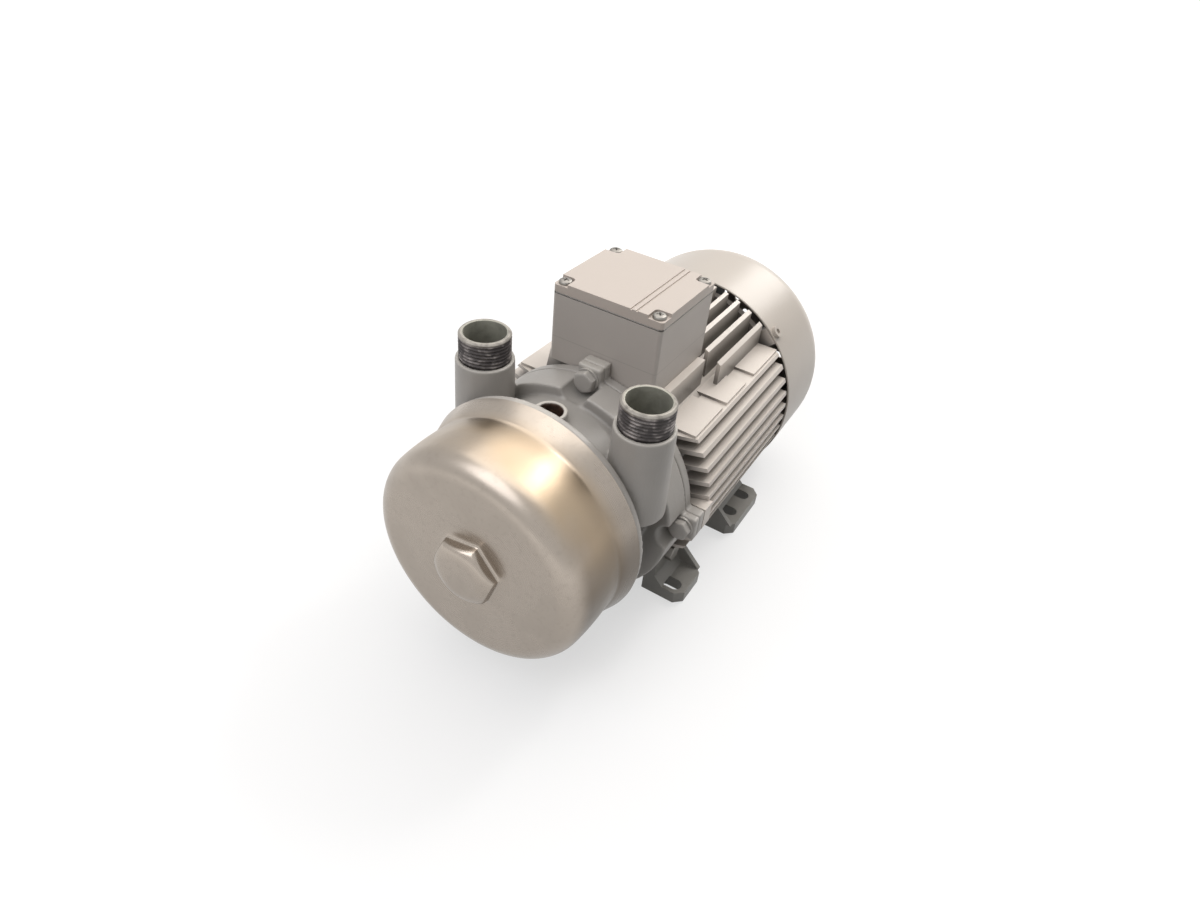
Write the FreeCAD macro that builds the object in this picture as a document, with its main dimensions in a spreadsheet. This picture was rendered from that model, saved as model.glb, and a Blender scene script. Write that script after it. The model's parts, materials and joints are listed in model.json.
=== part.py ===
"""Liquid ring vacuum pump, close coupled to a foot mounted electric motor.

Frame: millimetres, +Z up, +Y along the shaft from the pump to the fan, origin on the floor
under the shaft at the centre of the foot holes. Stations along the shaft are counted from the
middle of the motor frame's foot pads, which lies behind that centre by the size foot_shift.
Every driving size is a cell of the sheet "dims"; the sketches, pads and placements are bound
to those cells by expressions.
"""
import FreeCAD
import Part
import Sketcher
import math
import os
import re

Vector = FreeCAD.Vector

SIZES = {
    # motor frame: shaft height and foot holes
    "shaft_height": 90, "foot_span": 146, "foot_pitch": 100, "foot_pitch_long": 125,
    "foot_shift": -10, "foot_half_width": 86.5, "foot_thickness": 10, "foot_slot_width": 10,
    "foot_slot_length": 17, "foot_pad_inner": 54, "foot_upright": 9, "foot_upright_top": -49,
    "foot_gusset": 4, "foot_pad_depth": 14, "foot_bolt_shift": 6, "foot_corner": 6,
    "foot_front_margin": 8.8, "foot_front_length": 36.3, "foot_rear_margin": 18,
    "foot_rear_length": 57, "foot_bolt_radius": 4, "foot_bolt_drop": 60,
    "foot_bolt_length": 19,
    # motor frame casting
    "frame_front_reach": 69, "frame_rear_reach": 84, "frame_bore": 65, "frame_wall": 6,
    "fin_tip_radius": 88, "fin_pitch": 10.5, "fin_thickness": 3,
    "fin_front_reach": 66, "fin_rear_reach": 80, "fin_nose": 7, "ledge_rise": 2.5,
    "ledge_one_end": -18, "ledge_two_start": -11, "ledge_two_end": 21, "ledge_three_start": 36,
    "plinth_half_width": 45, "plinth_top": 75, "plinth_rear": -3,
    "frame_boss_radius": 5, "frame_boss_length": 16, "frame_screw_circle": 70, "frame_screw_angle": 22,
    "frame_screw_radius": 2.5, "frame_screw_length": 14, "frame_screw_head": 4.2,
    "frame_screw_head_height": 4, "frame_screw_socket": 4, "frame_lug_length": 11,
    # drive end shield and the flange of the pump housing
    "shield_plate": 8, "shield_radius": 79.5, "shield_spigot": 6, "shield_hub_radius": 33,
    "shield_front_wall": 5, "shield_register_radius": 52, "shield_register_depth": 4,
    "shield_shaft_hole": 15, "lug_circle": 81, "lug_half_width": 8.5, "lug_reach": 90,
    "lug_bolt_radius": 4, "lug_bolt_clearance": 0.5, "lug_bolt_length": 14.5,
    "lug_bolt_head": 5.3, "lug_bolt_flats": 13, "lug_pocket": 10, "washer_thickness": 1.6,
    "washer_radius": 8,
    # fan end shield
    "fan_shield_plate": 6, "fan_shield_radius": 78, "fan_shield_hub_radius": 32,
    "fan_shield_hub_front": 76, "fan_shield_wall": 3.5, "fan_shield_ear_width": 14,
    "fan_shield_ear_length": 9, "cowl_screw_radius": 2.5, "cowl_screw_length": 12,
    "cowl_screw_head": 4.6, "cowl_screw_head_height": 2.6,
    "spring_washer_height": 1.6, "spring_washer_thickness": 0.5, "spring_washer_inner": 18,
    # bearings
    "bearing_bore": 12.5, "bearing_outer": 26, "bearing_width": 15, "bearing_land": 3.4,
    "ball_radius": 3.97, "ball_count": 9, "ball_clearance": 0.12, "cage_half_width": 5,
    "cage_inner": 17.6, "cage_outer": 20.9,
    # shaft
    "shaft_tip_radius": 9, "shaft_seal_radius": 10, "shaft_collar_radius": 15,
    "shaft_core_radius": 17.5, "shaft_fan_radius": 10, "shaft_fan_end": 132,
    "collar_length": 5, "shaft_end_gap": 0.4, "shaft_chamfer": 1,
    # stator and rotor
    "stator_front": -28, "stator_length": 80, "stator_bore": 36.5, "air_gap": 0.5,
    "stator_slots": 24, "slot_width": 4.5, "slot_depth": 15, "winding_inner": 41,
    "winding_outer": 59, "winding_front_length": 23, "winding_rear_length": 20,
    "end_ring_length": 9, "end_ring_inner": 22, "end_ring_outer": 34, "rotor_vane_length": 7,
    "rotor_vane_count": 8, "rotor_vane_thickness": 3, "rotor_bars": 18,
    "rotor_bar_inner": 26, "rotor_bar_width": 3.5,
    # pump housing
    "flange_plate": 6, "drum_length": 17, "housing_length": 58, "housing_radius": 62.5,
    "eccentricity": 10,
    "shoulder_radius": 79.6, "shoulder_length": 5, "spigot_length": 22, "spigot_step": 14.5,
    "housing_recess_radius": 52, "housing_recess_depth": 23, "chamber_rear_wall": 8,
    "chamber_inner": 27, "chamber_outer": 57.5, "chamber_web": 10, "chamber_floor_angle": 32,
    "seal_chamber_radius": 21, "seal_chamber_length": 42, "seal_seat_length": 8,
    "seal_seat_bore": 19, "shaft_passage": 11.5,
    "boss_offset": 58, "boss_station": 27.6, "boss_top": 89, "boss_radius": 18.75,
    "boss_foot_radius": 20, "boss_foot_level": 27, "boss_web": 9, "boss_web_top": 80,
    "small_port_station": 16.8, "small_port_top": 80, "small_port_boss": 10.6,
    "small_port_radius": 7.75, "small_port_depth": 12, "small_port_feed": 4,
    "drain_station": 17, "drain_radius": 5, "drain_depth": 10, "drain_boss": 2,
    "drain_feed": 3,
    "nipple_radius": 16.62, "nipple_bore": 13.5, "nipple_length": 31, "nipple_exposed": 18,
    "nipple_chamfer": 1.2, "nipple_seat_radius": 15.9, "nipple_runout": 0.4,
    # pot
    "pot_radius": 75.4, "pot_wall": 2, "pot_length": 61, "pot_corner": 14.4,
    "pot_rim_radius": 80.3, "pot_rim_length": 14.5, "hex_flats": 40, "hex_turn": 10,
    "hex_height": 10, "hex_side": 4, "hex_crown_radius": 12, "hex_dome_radius": 14,
    "hex_reach": 23.6,
    "o_ring_wire": 2.7, "o_ring_squeeze": 0.05, "o_ring_station": 4.5,
    # port plate and impeller
    "port_plate_thickness": 5, "plate_screw_radius": 2.5, "plate_screw_circle": 66,
    "plate_screw_length": 12, "impeller_tip_gap": 1, "impeller_plate_gap": 0.3,
    "impeller_front_gap": 0.4, "impeller_hub": 20, "impeller_recess_radius": 13,
    "impeller_recess_depth": 11, "blade_count": 12, "blade_thickness": 2.6,
    "blade_sweep_radius": 48, "blade_sweep": 64, "impeller_washer_radius": 12.5,
    "impeller_washer_thickness": 2, "impeller_screw_radius": 4, "impeller_screw_length": 18,
    "impeller_screw_head": 6.5, "impeller_screw_head_height": 8, "socket_flats": 6,
    "key_width": 5, "key_length": 16, "key_shaft_depth": 3, "key_height": 5,
    # shaft seal and slinger
    "seal_ring_inner": 12, "seal_ring_outer": 16, "seal_head_length": 12,
    "seal_head_radius": 17.5, "seal_spring_wire": 1.1, "seal_spring_radius": 14.5,
    "seal_spring_turns": 4, "seal_film": 0.1, "slinger_radius": 20, "slinger_width": 6,
    "slinger_station": 20,
    # fan and cowl
    "fan_front": 104, "fan_hub_length": 20, "fan_hub_radius": 17, "fan_disc": 2.5,
    "fan_radius": 74, "fan_blade_count": 8, "fan_blade_thickness": 2.2,
    "fan_blade_length": 26, "circlip_thickness": 1.2, "circlip_radius": 13, "circlip_gap": 5,
    "cowl_front": 82.6, "cowl_rear": 169.8, "cowl_radius": 89, "cowl_wall": 1.5,
    "cowl_dome_radius": 31, "grille_outer": 54, "grille_middle": 35, "grille_inner": 14,
    "grille_bar": 4, "grille_slot": 5, "grille_slots": 20,
    # terminal box
    "box_half_width": 39.4, "box_front": -68.8, "box_length": 72.3, "box_height": 47.8,
    "box_wall": 3, "box_corner": 2.5, "box_post_radius": 5, "box_post_inset": 5.6,
    "gasket_thickness": 1.2, "lid_thickness": 7, "lid_wall": 2.5, "lid_notch": 2.2,
    "lid_notch_corner": 3, "lid_groove_one": 17,
    "lid_groove_two": 21, "lid_groove_width": 1.2, "lid_groove_depth": 0.8,
    "lid_screw_radius": 2, "lid_screw_length": 14, "lid_screw_head": 4.4,
    "lid_screw_head_height": 2.6, "cross_slot": 1.2, "lead_hole_radius": 8, "entry_radius": 10,
    "entry_level": 100, "gland_station": -20, "plug_station": -45, "gland_hex_flats": 24,
    "gland_hex_height": 5, "gland_cap_radius": 11.5, "gland_cap_length": 15,
    "gland_cable_hole": 5.5, "gland_thread_length": 8, "gland_neck": 8,
    "locknut_height": 4,
    "box_screw_radius": 2.5, "box_screw_length": 13, "box_screw_head": 4.2,
    "box_screw_head_height": 3, "board_half_width": 27, "board_length": 36,
    "board_thickness": 8, "stud_radius": 2, "stud_height": 14, "stud_pitch": 17,
    "stud_row_pitch": 17, "nut_flats": 7, "nut_height": 3.2, "link_thickness": 1,
    "link_width": 8,
    # running and standing fits
    "seat_gap": 0.05,
}

FRAME_FRONT = "(-frame_front_reach)"
SHIELD_FRONT = f"({FRAME_FRONT} - shield_plate)"
FLANGE_FRONT = f"({SHIELD_FRONT} - flange_plate)"
POT_SEAT = f"({FLANGE_FRONT} - housing_length)"
POT_FRONT = f"({POT_SEAT} - pot_length)"
PORT_FACE = f"({POT_SEAT} - spigot_length)"
PLATE_FRONT = f"({PORT_FACE} - port_plate_thickness)"
POT_BORE = "(pot_radius - pot_wall)"
IMPELLER_REAR = f"({PLATE_FRONT} - impeller_plate_gap)"
IMPELLER_FRONT = f"({POT_FRONT} + pot_wall + impeller_front_gap)"
IMPELLER_TIP = f"({POT_BORE} - eccentricity - impeller_tip_gap)"
SEAL_WALL = f"({PORT_FACE} + seal_chamber_length)"
BOSS_Y = f"({POT_SEAT} + boss_station)"
SMALL_PORT_Y = f"({POT_SEAT} + small_port_station)"
DRIVE_BEARING = f"({SHIELD_FRONT} + shield_front_wall)"
FAN_BEARING_END = "(fan_shield_hub_front + bearing_width + 2)"
FAN_BEARING = f"({FAN_BEARING_END} - bearing_width)"
FAN_HUB_REAR = f"({FAN_BEARING_END} + spring_washer_height + fan_shield_wall)"
FRAME_REAR = "frame_rear_reach"
STATOR_REAR = "(stator_front + stator_length)"
BALL_PITCH = "((bearing_bore + bearing_outer) / 2)"
BOX_BOTTOM = "plinth_top"
BOX_TOP = f"({BOX_BOTTOM} + box_height)"
LID_BOTTOM = f"({BOX_TOP} + gasket_thickness)"
LID_TOP = f"({LID_BOTTOM} + lid_thickness)"
BOX_MIDDLE = "(box_front + box_length / 2)"
SHAFT_TIP = f"({IMPELLER_FRONT} + impeller_recess_depth)"
KEY_FRONT = f"({SHAFT_TIP} + 1.5)"
KEY_REAR = f"({KEY_FRONT} + key_length)"
DRAIN_Y = f"({POT_SEAT} + drain_station)"
COWL_SCREW_Y = f"({FRAME_REAR} + fan_shield_ear_length / 2)"
FOOT_BOLT_TIP = "(foot_pad_inner + foot_upright - foot_bolt_length)"
LEAD_Y = "(box_front + box_length - 15)"
FRONT_HOLE = "(foot_shift - foot_pitch / 2)"
REAR_HOLE = "(foot_shift + foot_pitch / 2)"
FAR_HOLE = "(foot_shift - foot_pitch / 2 + foot_pitch_long)"
FRONT_FOOT = f"({FRONT_HOLE} - foot_front_margin)"
REAR_FOOT = f"({REAR_HOLE} - foot_rear_margin)"
FOOT_SPANS = {
    "front": (FRONT_FOOT, f"({FRONT_FOOT} + foot_front_length)"),
    "rear": (REAR_FOOT, f"({REAR_FOOT} + foot_rear_length)"),
}
POST_X = "(box_half_width - box_post_inset)"
LID_SEAT = f"({LID_TOP} - lid_notch)"

doc = FreeCAD.newDocument("liquid_ring_pump")
dims = doc.addObject("Spreadsheet::Sheet", "dims")
for row, (alias, number) in enumerate(SIZES.items(), start=1):
    dims.set(f"A{row}", alias)
    dims.set(f"B{row}", str(number))
    dims.setAlias(f"B{row}", alias)
doc.recompute()

nodes = []


def expr(text):
    """The expression with each size written as a cell of the sheet."""
    return re.sub(r"[a-z_]+", lambda m: "dims." + m[0] if m[0] in SIZES else m[0], str(text))


def size(text):
    """The number that an expression on the sizes gives now."""
    number = dims.evalExpression(expr(text))
    return float(getattr(number, "Value", number))


def bind(item, prop, text):
    """Bind one property to an expression on the sizes."""
    item.setExpression(prop, expr(text))


def body(name, level="shaft_height", turn=None):
    """A body whose own origin lies on the shaft line, or at another level."""
    piece = doc.addObject("PartDesign::Body", name)
    piece.Label = name
    piece.AllowCompound = True
    if turn:
        piece.Placement.Rotation = FreeCAD.Rotation(*turn)
    bind(piece, "Placement.Base.y", "-foot_shift")
    bind(piece, "Placement.Base.z", level)
    nodes.append(piece)
    return piece


def origin(piece, role):
    """One plane or axis of a body's own origin."""
    return next(item for item in piece.Origin.OriginFeatures if item.Role == role)


def tie(sketch, constraint, text):
    """Add a constraint and bind its value to an expression."""
    index = sketch.addConstraint(constraint)
    bind(sketch, f"Constraints[{index}]", text)


def circle(x, y, radius):
    """A full circle of a sketch."""
    return ("circle", x, y, radius)


def box_loop(x_low, y_low, x_high, y_high):
    """The four corners of a rectangle."""
    return [(x_low, y_low), (x_high, y_low), (x_high, y_high), (x_low, y_high)]


def add_circle(sketch, x, y, radius):
    """Draw a circle and tie its centre and radius to the sizes."""
    round_edge = Part.Circle(Vector(size(x), size(y), 0), Vector(0, 0, 1), size(radius))
    edge = sketch.addGeometry(round_edge, False)
    tie(sketch, Sketcher.Constraint("DistanceX", -1, 1, edge, 3, size(x)), x)
    tie(sketch, Sketcher.Constraint("DistanceY", -1, 1, edge, 3, size(y)), y)
    tie(sketch, Sketcher.Constraint("Radius", edge, size(radius)), radius)


def arc_between(start, end, radius, side):
    """The short arc between two points, bulging to the left (1) or right (-1) of the way."""
    chord = end - start
    across = Vector(-chord.y, chord.x, 0).normalize()
    depth = math.sqrt(max(radius ** 2 - chord.Length ** 2 / 4, 0))
    centre = (start + end) * 0.5 - across * (side * depth)
    low, high = (end, start) if side > 0 else (start, end)
    first = math.atan2(low.y - centre.y, low.x - centre.x)
    last = math.atan2(high.y - centre.y, high.x - centre.x)
    if last < first:
        last += 2 * math.pi
    return Part.ArcOfCircle(Part.Circle(centre, Vector(0, 0, 1), radius), first, last)


def add_loop(sketch, corners):
    """Draw a closed loop: each corner is (x, y), or (x, y, radius, side) where an arc leaves it."""
    spots = [Vector(size(c[0]), size(c[1]), 0) for c in corners]
    ends = []
    for index, corner in enumerate(corners):
        start, end = spots[index], spots[(index + 1) % len(corners)]
        if len(corner) == 2:
            ends.append((sketch.addGeometry(Part.LineSegment(start, end), False), 1, 2))
            continue
        radius, side = size(corner[2]), corner[3]
        edge = sketch.addGeometry(arc_between(start, end, radius, side), False)
        ends.append((edge, 2, 1) if side > 0 else (edge, 1, 2))
        tie(sketch, Sketcher.Constraint("Radius", edge, radius), corner[2])
    for index, corner in enumerate(corners):
        edge, first, last = ends[index]
        after, after_first, _ = ends[(index + 1) % len(corners)]
        sketch.addConstraint(Sketcher.Constraint("Coincident", edge, last, after, after_first))
        spot = spots[index]
        tie(sketch, Sketcher.Constraint("DistanceX", -1, 1, edge, first, spot.x), corner[0])
        tie(sketch, Sketcher.Constraint("DistanceY", -1, 1, edge, first, spot.y), corner[1])


def sketch_on(piece, plane, loops, offset="0"):
    """A sketch on an origin plane of the body, moved along the plane's normal by offset."""
    sketch = piece.newObject("Sketcher::SketchObject", f"{piece.Name}_sketch")
    sketch.AttachmentSupport = [(origin(piece, plane), "")]
    sketch.MapMode = "FlatFace"
    bind(sketch, "AttachmentOffset.Base.z", offset)
    for loop in loops:
        if loop[0] == "circle":
            add_circle(sketch, *loop[1:])
        else:
            add_loop(sketch, loop)
    return sketch


def feature(piece, kind, sketch, **settings):
    """A sketch based feature of a body."""
    made = piece.newObject(f"PartDesign::{kind}", f"{piece.Name}_{kind}")
    made.Profile = sketch
    for name, setting in settings.items():
        setattr(made, name, setting)
    return made


def revolve(piece, loops, kind="Revolution"):
    """Turn (radius, y) loops about the body's own Y axis, to add or to cut."""
    sketch = sketch_on(piece, "XY_Plane", loops)
    return feature(piece, kind, sketch, ReferenceAxis=(sketch, ["V_Axis"]), Angle=360)


def groove(piece, loops):
    """Turn (radius, y) loops about the body's own Y axis and cut them away."""
    return revolve(piece, loops, "Groove")


def prism(piece, axis, loops, low, high, kind="Pad"):
    """A prism along X, Y or Z between two stations, to add (Pad) or to cut (Pocket)."""
    plane = {"X": "YZ_Plane", "Y": "XZ_Plane", "Z": "XY_Plane"}[axis]
    offset = f"-({high})" if axis == "Y" else low
    sketch = sketch_on(piece, plane, loops, offset)
    made = feature(piece, kind, sketch, Reversed=(kind == "Pocket"))
    bind(made, "Length", f"({high}) - ({low})")
    return made


def polar(piece, made, count, axis="Y_Axis"):
    """Repeat features round an axis of the body."""
    pattern = piece.newObject("PartDesign::PolarPattern", f"{piece.Name}_polar")
    pattern.Originals = made if isinstance(made, list) else [made]
    pattern.Axis = (origin(piece, axis), [""])
    pattern.Angle = 360
    bind(pattern, "Occurrences", count)
    piece.Tip = pattern
    return pattern


def mirrored(piece, made, plane="YZ_Plane"):
    """Repeat features on the other side of a plane of the body."""
    mirror = piece.newObject("PartDesign::Mirrored", f"{piece.Name}_mirror")
    mirror.Originals = made if isinstance(made, list) else [made]
    mirror.MirrorPlane = (origin(piece, plane), [""])
    piece.Tip = mirror
    return mirror


def ring(name, inner, outer, low, high, level="shaft_height"):
    """A plain ring about the shaft."""
    piece = body(name, level)
    revolve(piece, [box_loop(inner, low, outer, high)])
    return piece


def hexagon(x, z, flats, turn="0"):
    """The corners of a hexagon with its flats that far apart."""
    corners = []
    for step in range(6):
        angle = f"({turn} + {60 * step}) * 1deg"
        reach = f"({flats}) / sqrt(3)"
        corners.append((f"({x}) + {reach} * cos({angle})", f"({z}) + {reach} * sin({angle})"))
    return corners


def casing_pot():
    """Deep drawn pot about its own axis, with the pressed spanner hexagon on its face."""
    pot = body("casing_pot", "shaft_height + eccentricity")
    corner_y = f"({POT_FRONT} + pot_corner)"
    waist_y = f"({POT_SEAT} - pot_rim_length)"
    inner_corner = "(pot_corner - pot_wall)"
    revolve(pot, [[
        ("0", POT_FRONT),
        ("pot_radius - pot_corner", POT_FRONT, "pot_corner", -1),
        ("pot_radius", corner_y),
        ("pot_radius", waist_y),
        ("pot_rim_radius", POT_SEAT),
        ("pot_rim_radius - pot_wall", POT_SEAT),
        (POT_BORE, waist_y),
        (POT_BORE, corner_y, inner_corner, 1),
        (f"{POT_BORE} - {inner_corner}", f"{POT_FRONT} + pot_wall"),
        ("0", f"{POT_FRONT} + pot_wall"),
    ]])
    crown_y = f"({POT_FRONT} - hex_height)"
    prism(pot, "Y", [hexagon("0", "0", "hex_flats", "hex_turn")], crown_y, f"{POT_FRONT} + pot_wall / 2")
    dome_end = f"({POT_FRONT} - hex_side)"
    groove(pot, [[
        ("hex_crown_radius", crown_y, "hex_dome_radius", -1), ("hex_reach", dome_end),
        ("hex_reach + 4", dome_end), ("hex_reach + 4", f"{crown_y} - 1"),
        ("hex_crown_radius", f"{crown_y} - 1"),
    ]])
    inner_flat = "(hex_flats / 2 - pot_wall)"
    groove(pot, [[
        ("0", f"{POT_FRONT} + pot_wall + 1"), (inner_flat, f"{POT_FRONT} + pot_wall + 1"),
        (inner_flat, f"{dome_end} - 1"), ("hex_crown_radius - pot_wall / 2", f"{crown_y} + pot_wall"),
        ("0", f"{crown_y} + pot_wall"),
    ]])


def port_housing():
    """Cast housing: spigot for the pot, two port bosses, chambers, seal seat and round flange."""
    housing = body("port_housing", "shaft_height + eccentricity")
    spigot = f"({POT_BORE} - 3 * seat_gap)"
    spigot_end = f"({POT_SEAT} - spigot_step)"
    shoulder_end = f"({POT_SEAT} + shoulder_length)"
    groove_low = f"({PORT_FACE} + o_ring_station - o_ring_wire / 2)"
    groove_high = f"({PORT_FACE} + o_ring_station + o_ring_wire / 2)"
    groove_floor = f"({POT_BORE} - o_ring_wire)"
    revolve(housing, [[
        ("0", PORT_FACE), (spigot, PORT_FACE), (spigot, groove_low), (groove_floor, groove_low),
        (groove_floor, groove_high), (spigot, groove_high), (spigot, spigot_end),
        ("pot_rim_radius - pot_wall - 3 * seat_gap", POT_SEAT), ("shoulder_radius", POT_SEAT),
        ("shoulder_radius", shoulder_end), ("housing_radius", f"{shoulder_end} + 4"),
        ("housing_radius", f"{SHIELD_FRONT} - 1"), ("0", f"{SHIELD_FRONT} - 1"),
    ]])
    lugged_flange(housing, FLANGE_FRONT, SHIELD_FRONT, "-eccentricity")
    prism(housing, "Y", [circle("0", "-eccentricity", "shield_radius")],
          f"{FLANGE_FRONT} - drum_length", FLANGE_FRONT)
    port_bosses(housing)
    prism(housing, "Z", [circle("0", SMALL_PORT_Y, "small_port_boss")],
          "housing_radius / 2", "small_port_top - eccentricity")
    prism(housing, "Z", [circle("0", DRAIN_Y, "drain_radius + 4.5")],
          "-housing_radius - drain_boss", "-housing_radius / 2")
    housing_chambers(housing)
    housing_bores(housing)


def lugged_flange(piece, low, high, level="0"):
    """A round flange plate with a square lug at 12, 3, 6 and 9 o'clock."""
    prism(piece, "Y", [circle("0", level, "shield_radius")], low, high)
    upright = box_loop("-lug_half_width", f"{level} - lug_reach", "lug_half_width", f"{level} + lug_reach")
    level_bar = box_loop("-lug_reach", f"{level} - lug_half_width", "lug_reach", f"{level} + lug_half_width")
    prism(piece, "Y", [upright], low, high)
    prism(piece, "Y", [level_bar], low, high)


def lug_spots(level="0"):
    """The four bolt centres on the lugs."""
    return [("lug_circle", level), ("-lug_circle", level),
            ("0", f"{level} + lug_circle"), ("0", f"{level} - lug_circle")]


def port_bosses(housing):
    """The two upright port bosses with rounded feet, each tied to the flange by a web."""
    level = "(0 - eccentricity)"
    foot = f"({level} + boss_foot_level)"
    sketch = sketch_on(housing, "XZ_Plane", [[
        ("boss_offset", f"{level} + boss_top"),
        ("boss_offset + boss_radius", f"{level} + boss_top"),
        ("boss_offset + boss_foot_radius", foot, "boss_foot_radius", -1),
        ("boss_offset", f"{foot} - boss_foot_radius"),
    ]], f"-{BOSS_Y}")
    boss = feature(housing, "Revolution", sketch, ReferenceAxis=(sketch, ["Edge4"]), Angle=360)
    mirrored(housing, boss)
    web = prism(housing, "X", [[
        (BOSS_Y, f"{level} + boss_web_top"), (FLANGE_FRONT, f"{level} + boss_foot_level + 25"),
        (f"{FLANGE_FRONT} + flange_plate / 2", f"{level} + boss_foot_level + 25"),
        (f"{FLANGE_FRONT} + flange_plate / 2", level), (BOSS_Y, level),
    ]], "boss_offset - boss_web / 2", "boss_offset + boss_web / 2")
    mirrored(housing, web)


def housing_chambers(housing):
    """Suction and discharge chambers, open to the port plate and to the boss bores."""
    level = "(0 - eccentricity)"
    chamber_end = f"({SHIELD_FRONT} - housing_recess_depth - chamber_rear_wall)"
    half = "chamber_web / 2"
    tall = "sqrt(chamber_outer ^ 2 - (chamber_web / 2) ^ 2)"
    inner_tall = "sqrt(chamber_inner ^ 2 - (chamber_web / 2) ^ 2)"
    low_x = "(chamber_outer * cos(chamber_floor_angle * 1deg))"
    low_z = "(-chamber_outer * sin(chamber_floor_angle * 1deg))"
    low_inner_x = "(chamber_inner * cos(chamber_floor_angle * 1deg))"
    low_inner_z = "(-chamber_inner * sin(chamber_floor_angle * 1deg))"
    pocket = prism(housing, "Y", [[
        (half, inner_tall), (half, tall, "chamber_outer", 1), (low_x, low_z),
        (low_inner_x, low_inner_z, "chamber_inner", -1),
    ]], PORT_FACE, chamber_end, "Pocket")
    mirrored(housing, pocket)
    bore = prism(housing, "Z", [circle("boss_offset", BOSS_Y, "nipple_bore")],
                 f"{level} + boss_foot_level", f"{level} + boss_top", "Pocket")
    seat = prism(housing, "Z", [circle("boss_offset", BOSS_Y, "nipple_seat_radius + seat_gap")],
                 f"{level} + boss_top - nipple_length + nipple_exposed", f"{level} + boss_top", "Pocket")
    mirrored(housing, [bore, seat])


def housing_bores(housing):
    """Seal chamber, shaft passage, rear recess, bolt holes, small port and drain."""
    level = "(0 - eccentricity)"
    recess = f"({SHIELD_FRONT} - housing_recess_depth)"
    for radius, low, high in (
        ("seal_chamber_radius", PORT_FACE, SEAL_WALL),
        ("seal_seat_bore", SEAL_WALL, f"{SEAL_WALL} + seal_seat_length"),
        ("shaft_passage", f"{SEAL_WALL} + seal_seat_length", recess),
        ("housing_recess_radius", recess, SHIELD_FRONT),
    ):
        prism(housing, "Y", [circle("0", level, radius)], low, high, "Pocket")
    holes = [circle(x, z, "lug_bolt_radius + lug_bolt_clearance") for x, z in lug_spots(level)]
    prism(housing, "Y", holes, FLANGE_FRONT, SHIELD_FRONT, "Pocket")
    pockets = [circle(x, z, "lug_pocket") for x, z in lug_spots(level)]
    prism(housing, "Y", pockets, f"{FLANGE_FRONT} - drum_length", FLANGE_FRONT, "Pocket")
    top = "(small_port_top - eccentricity)"
    prism(housing, "Z", [circle("0", SMALL_PORT_Y, "small_port_radius")],
          f"{top} - small_port_depth", top, "Pocket")
    prism(housing, "Z", [circle("0", SMALL_PORT_Y, "small_port_feed")],
          f"{level} + seal_chamber_radius - 1", top, "Pocket")
    prism(housing, "Z", [circle("0", DRAIN_Y, "drain_radius + seat_gap")],
          "-housing_radius - drain_boss", "-housing_radius + drain_depth", "Pocket")
    prism(housing, "Z", [circle("0", DRAIN_Y, "drain_feed")],
          "-housing_radius", f"{level} - seal_chamber_radius + 1", "Pocket")
    screws = [circle(x, z, "plate_screw_radius + seat_gap") for x, z in plate_screw_spots()]
    prism(housing, "Y", screws, PORT_FACE, f"{PORT_FACE} + plate_screw_length", "Pocket")


def plate_screw_spots():
    """Four screw centres on the port plate, between the chambers and the rim."""
    spots = []
    for angle in (20, 160, 250, 290):
        turn = f"({angle} * 1deg)"
        spots.append((f"plate_screw_circle * cos{turn}", f"plate_screw_circle * sin{turn}"))
    return spots


def port_nipples():
    """Screwed pipe nipples of the suction and discharge ports."""
    for name, side in (("suction_nipple", "boss_offset"), ("discharge_nipple", "-boss_offset")):
        nipple = body(name)
        top = "(boss_top + nipple_exposed)"
        low = f"({top} - nipple_length)"
        bore = circle(side, BOSS_Y, "nipple_bore")
        shoulder = "(boss_top + nipple_runout)"
        prism(nipple, "Z", [circle(side, BOSS_Y, "nipple_seat_radius"), bore], low, shoulder)
        prism(nipple, "Z", [circle(side, BOSS_Y, "nipple_radius"), bore], shoulder, top)
        doc.recompute()
        base = nipple.Tip
        rim = rim_edge(base, size(top), size("nipple_radius"))
        bevel = nipple.newObject("PartDesign::Chamfer", f"{name}_bevel")
        bevel.Base = (base, [rim])
        bind(bevel, "Size", "nipple_chamfer")
        nipple.Tip = bevel


def rim_edge(base, z, radius):
    """The name of the round edge of that radius at that height in a feature."""
    for index, edge in enumerate(base.Shape.Edges, start=1):
        curve = edge.Curve
        if isinstance(curve, Part.Circle) and abs(curve.Radius - radius) < 1e-3:
            if abs(curve.Center.z - z) < 1e-3:
                return f"Edge{index}"
    raise ValueError(f"no round edge at {z} in {base.Label}")


def port_plate():
    """Control plate with a suction and a discharge slot, about the pot's axis."""
    plate = body("port_plate", "shaft_height + eccentricity")
    level = "(0 - eccentricity)"
    prism(plate, "Y", [circle("0", "0", f"{POT_BORE} - 4 * seat_gap"),
                       circle("0", level, "shaft_seal_radius + 6 * seat_gap")], PLATE_FRONT, PORT_FACE)
    for turn_low, turn_high, side in ((-25, 65, 1), (20, 75, -1)):
        slot = kidney("30", "50", turn_low, turn_high, side)
        prism(plate, "Y", [slot], PLATE_FRONT, PORT_FACE, "Pocket")
    holes = [circle(x, z, "plate_screw_radius + 2 * seat_gap") for x, z in plate_screw_spots()]
    prism(plate, "Y", holes, PLATE_FRONT, PORT_FACE, "Pocket")


def kidney(inner, outer, low, high, side):
    """An arc shaped slot between two angles, on the right (1) or left (-1) of the axis."""
    def spot(radius, angle):
        return (f"{side} * {radius} * cos({angle} * 1deg)", f"{radius} * sin({angle} * 1deg)")
    return [spot(outer, low) + (outer, -side), spot(outer, high), spot(inner, high) + (inner, side),
            spot(inner, low)]


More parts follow.
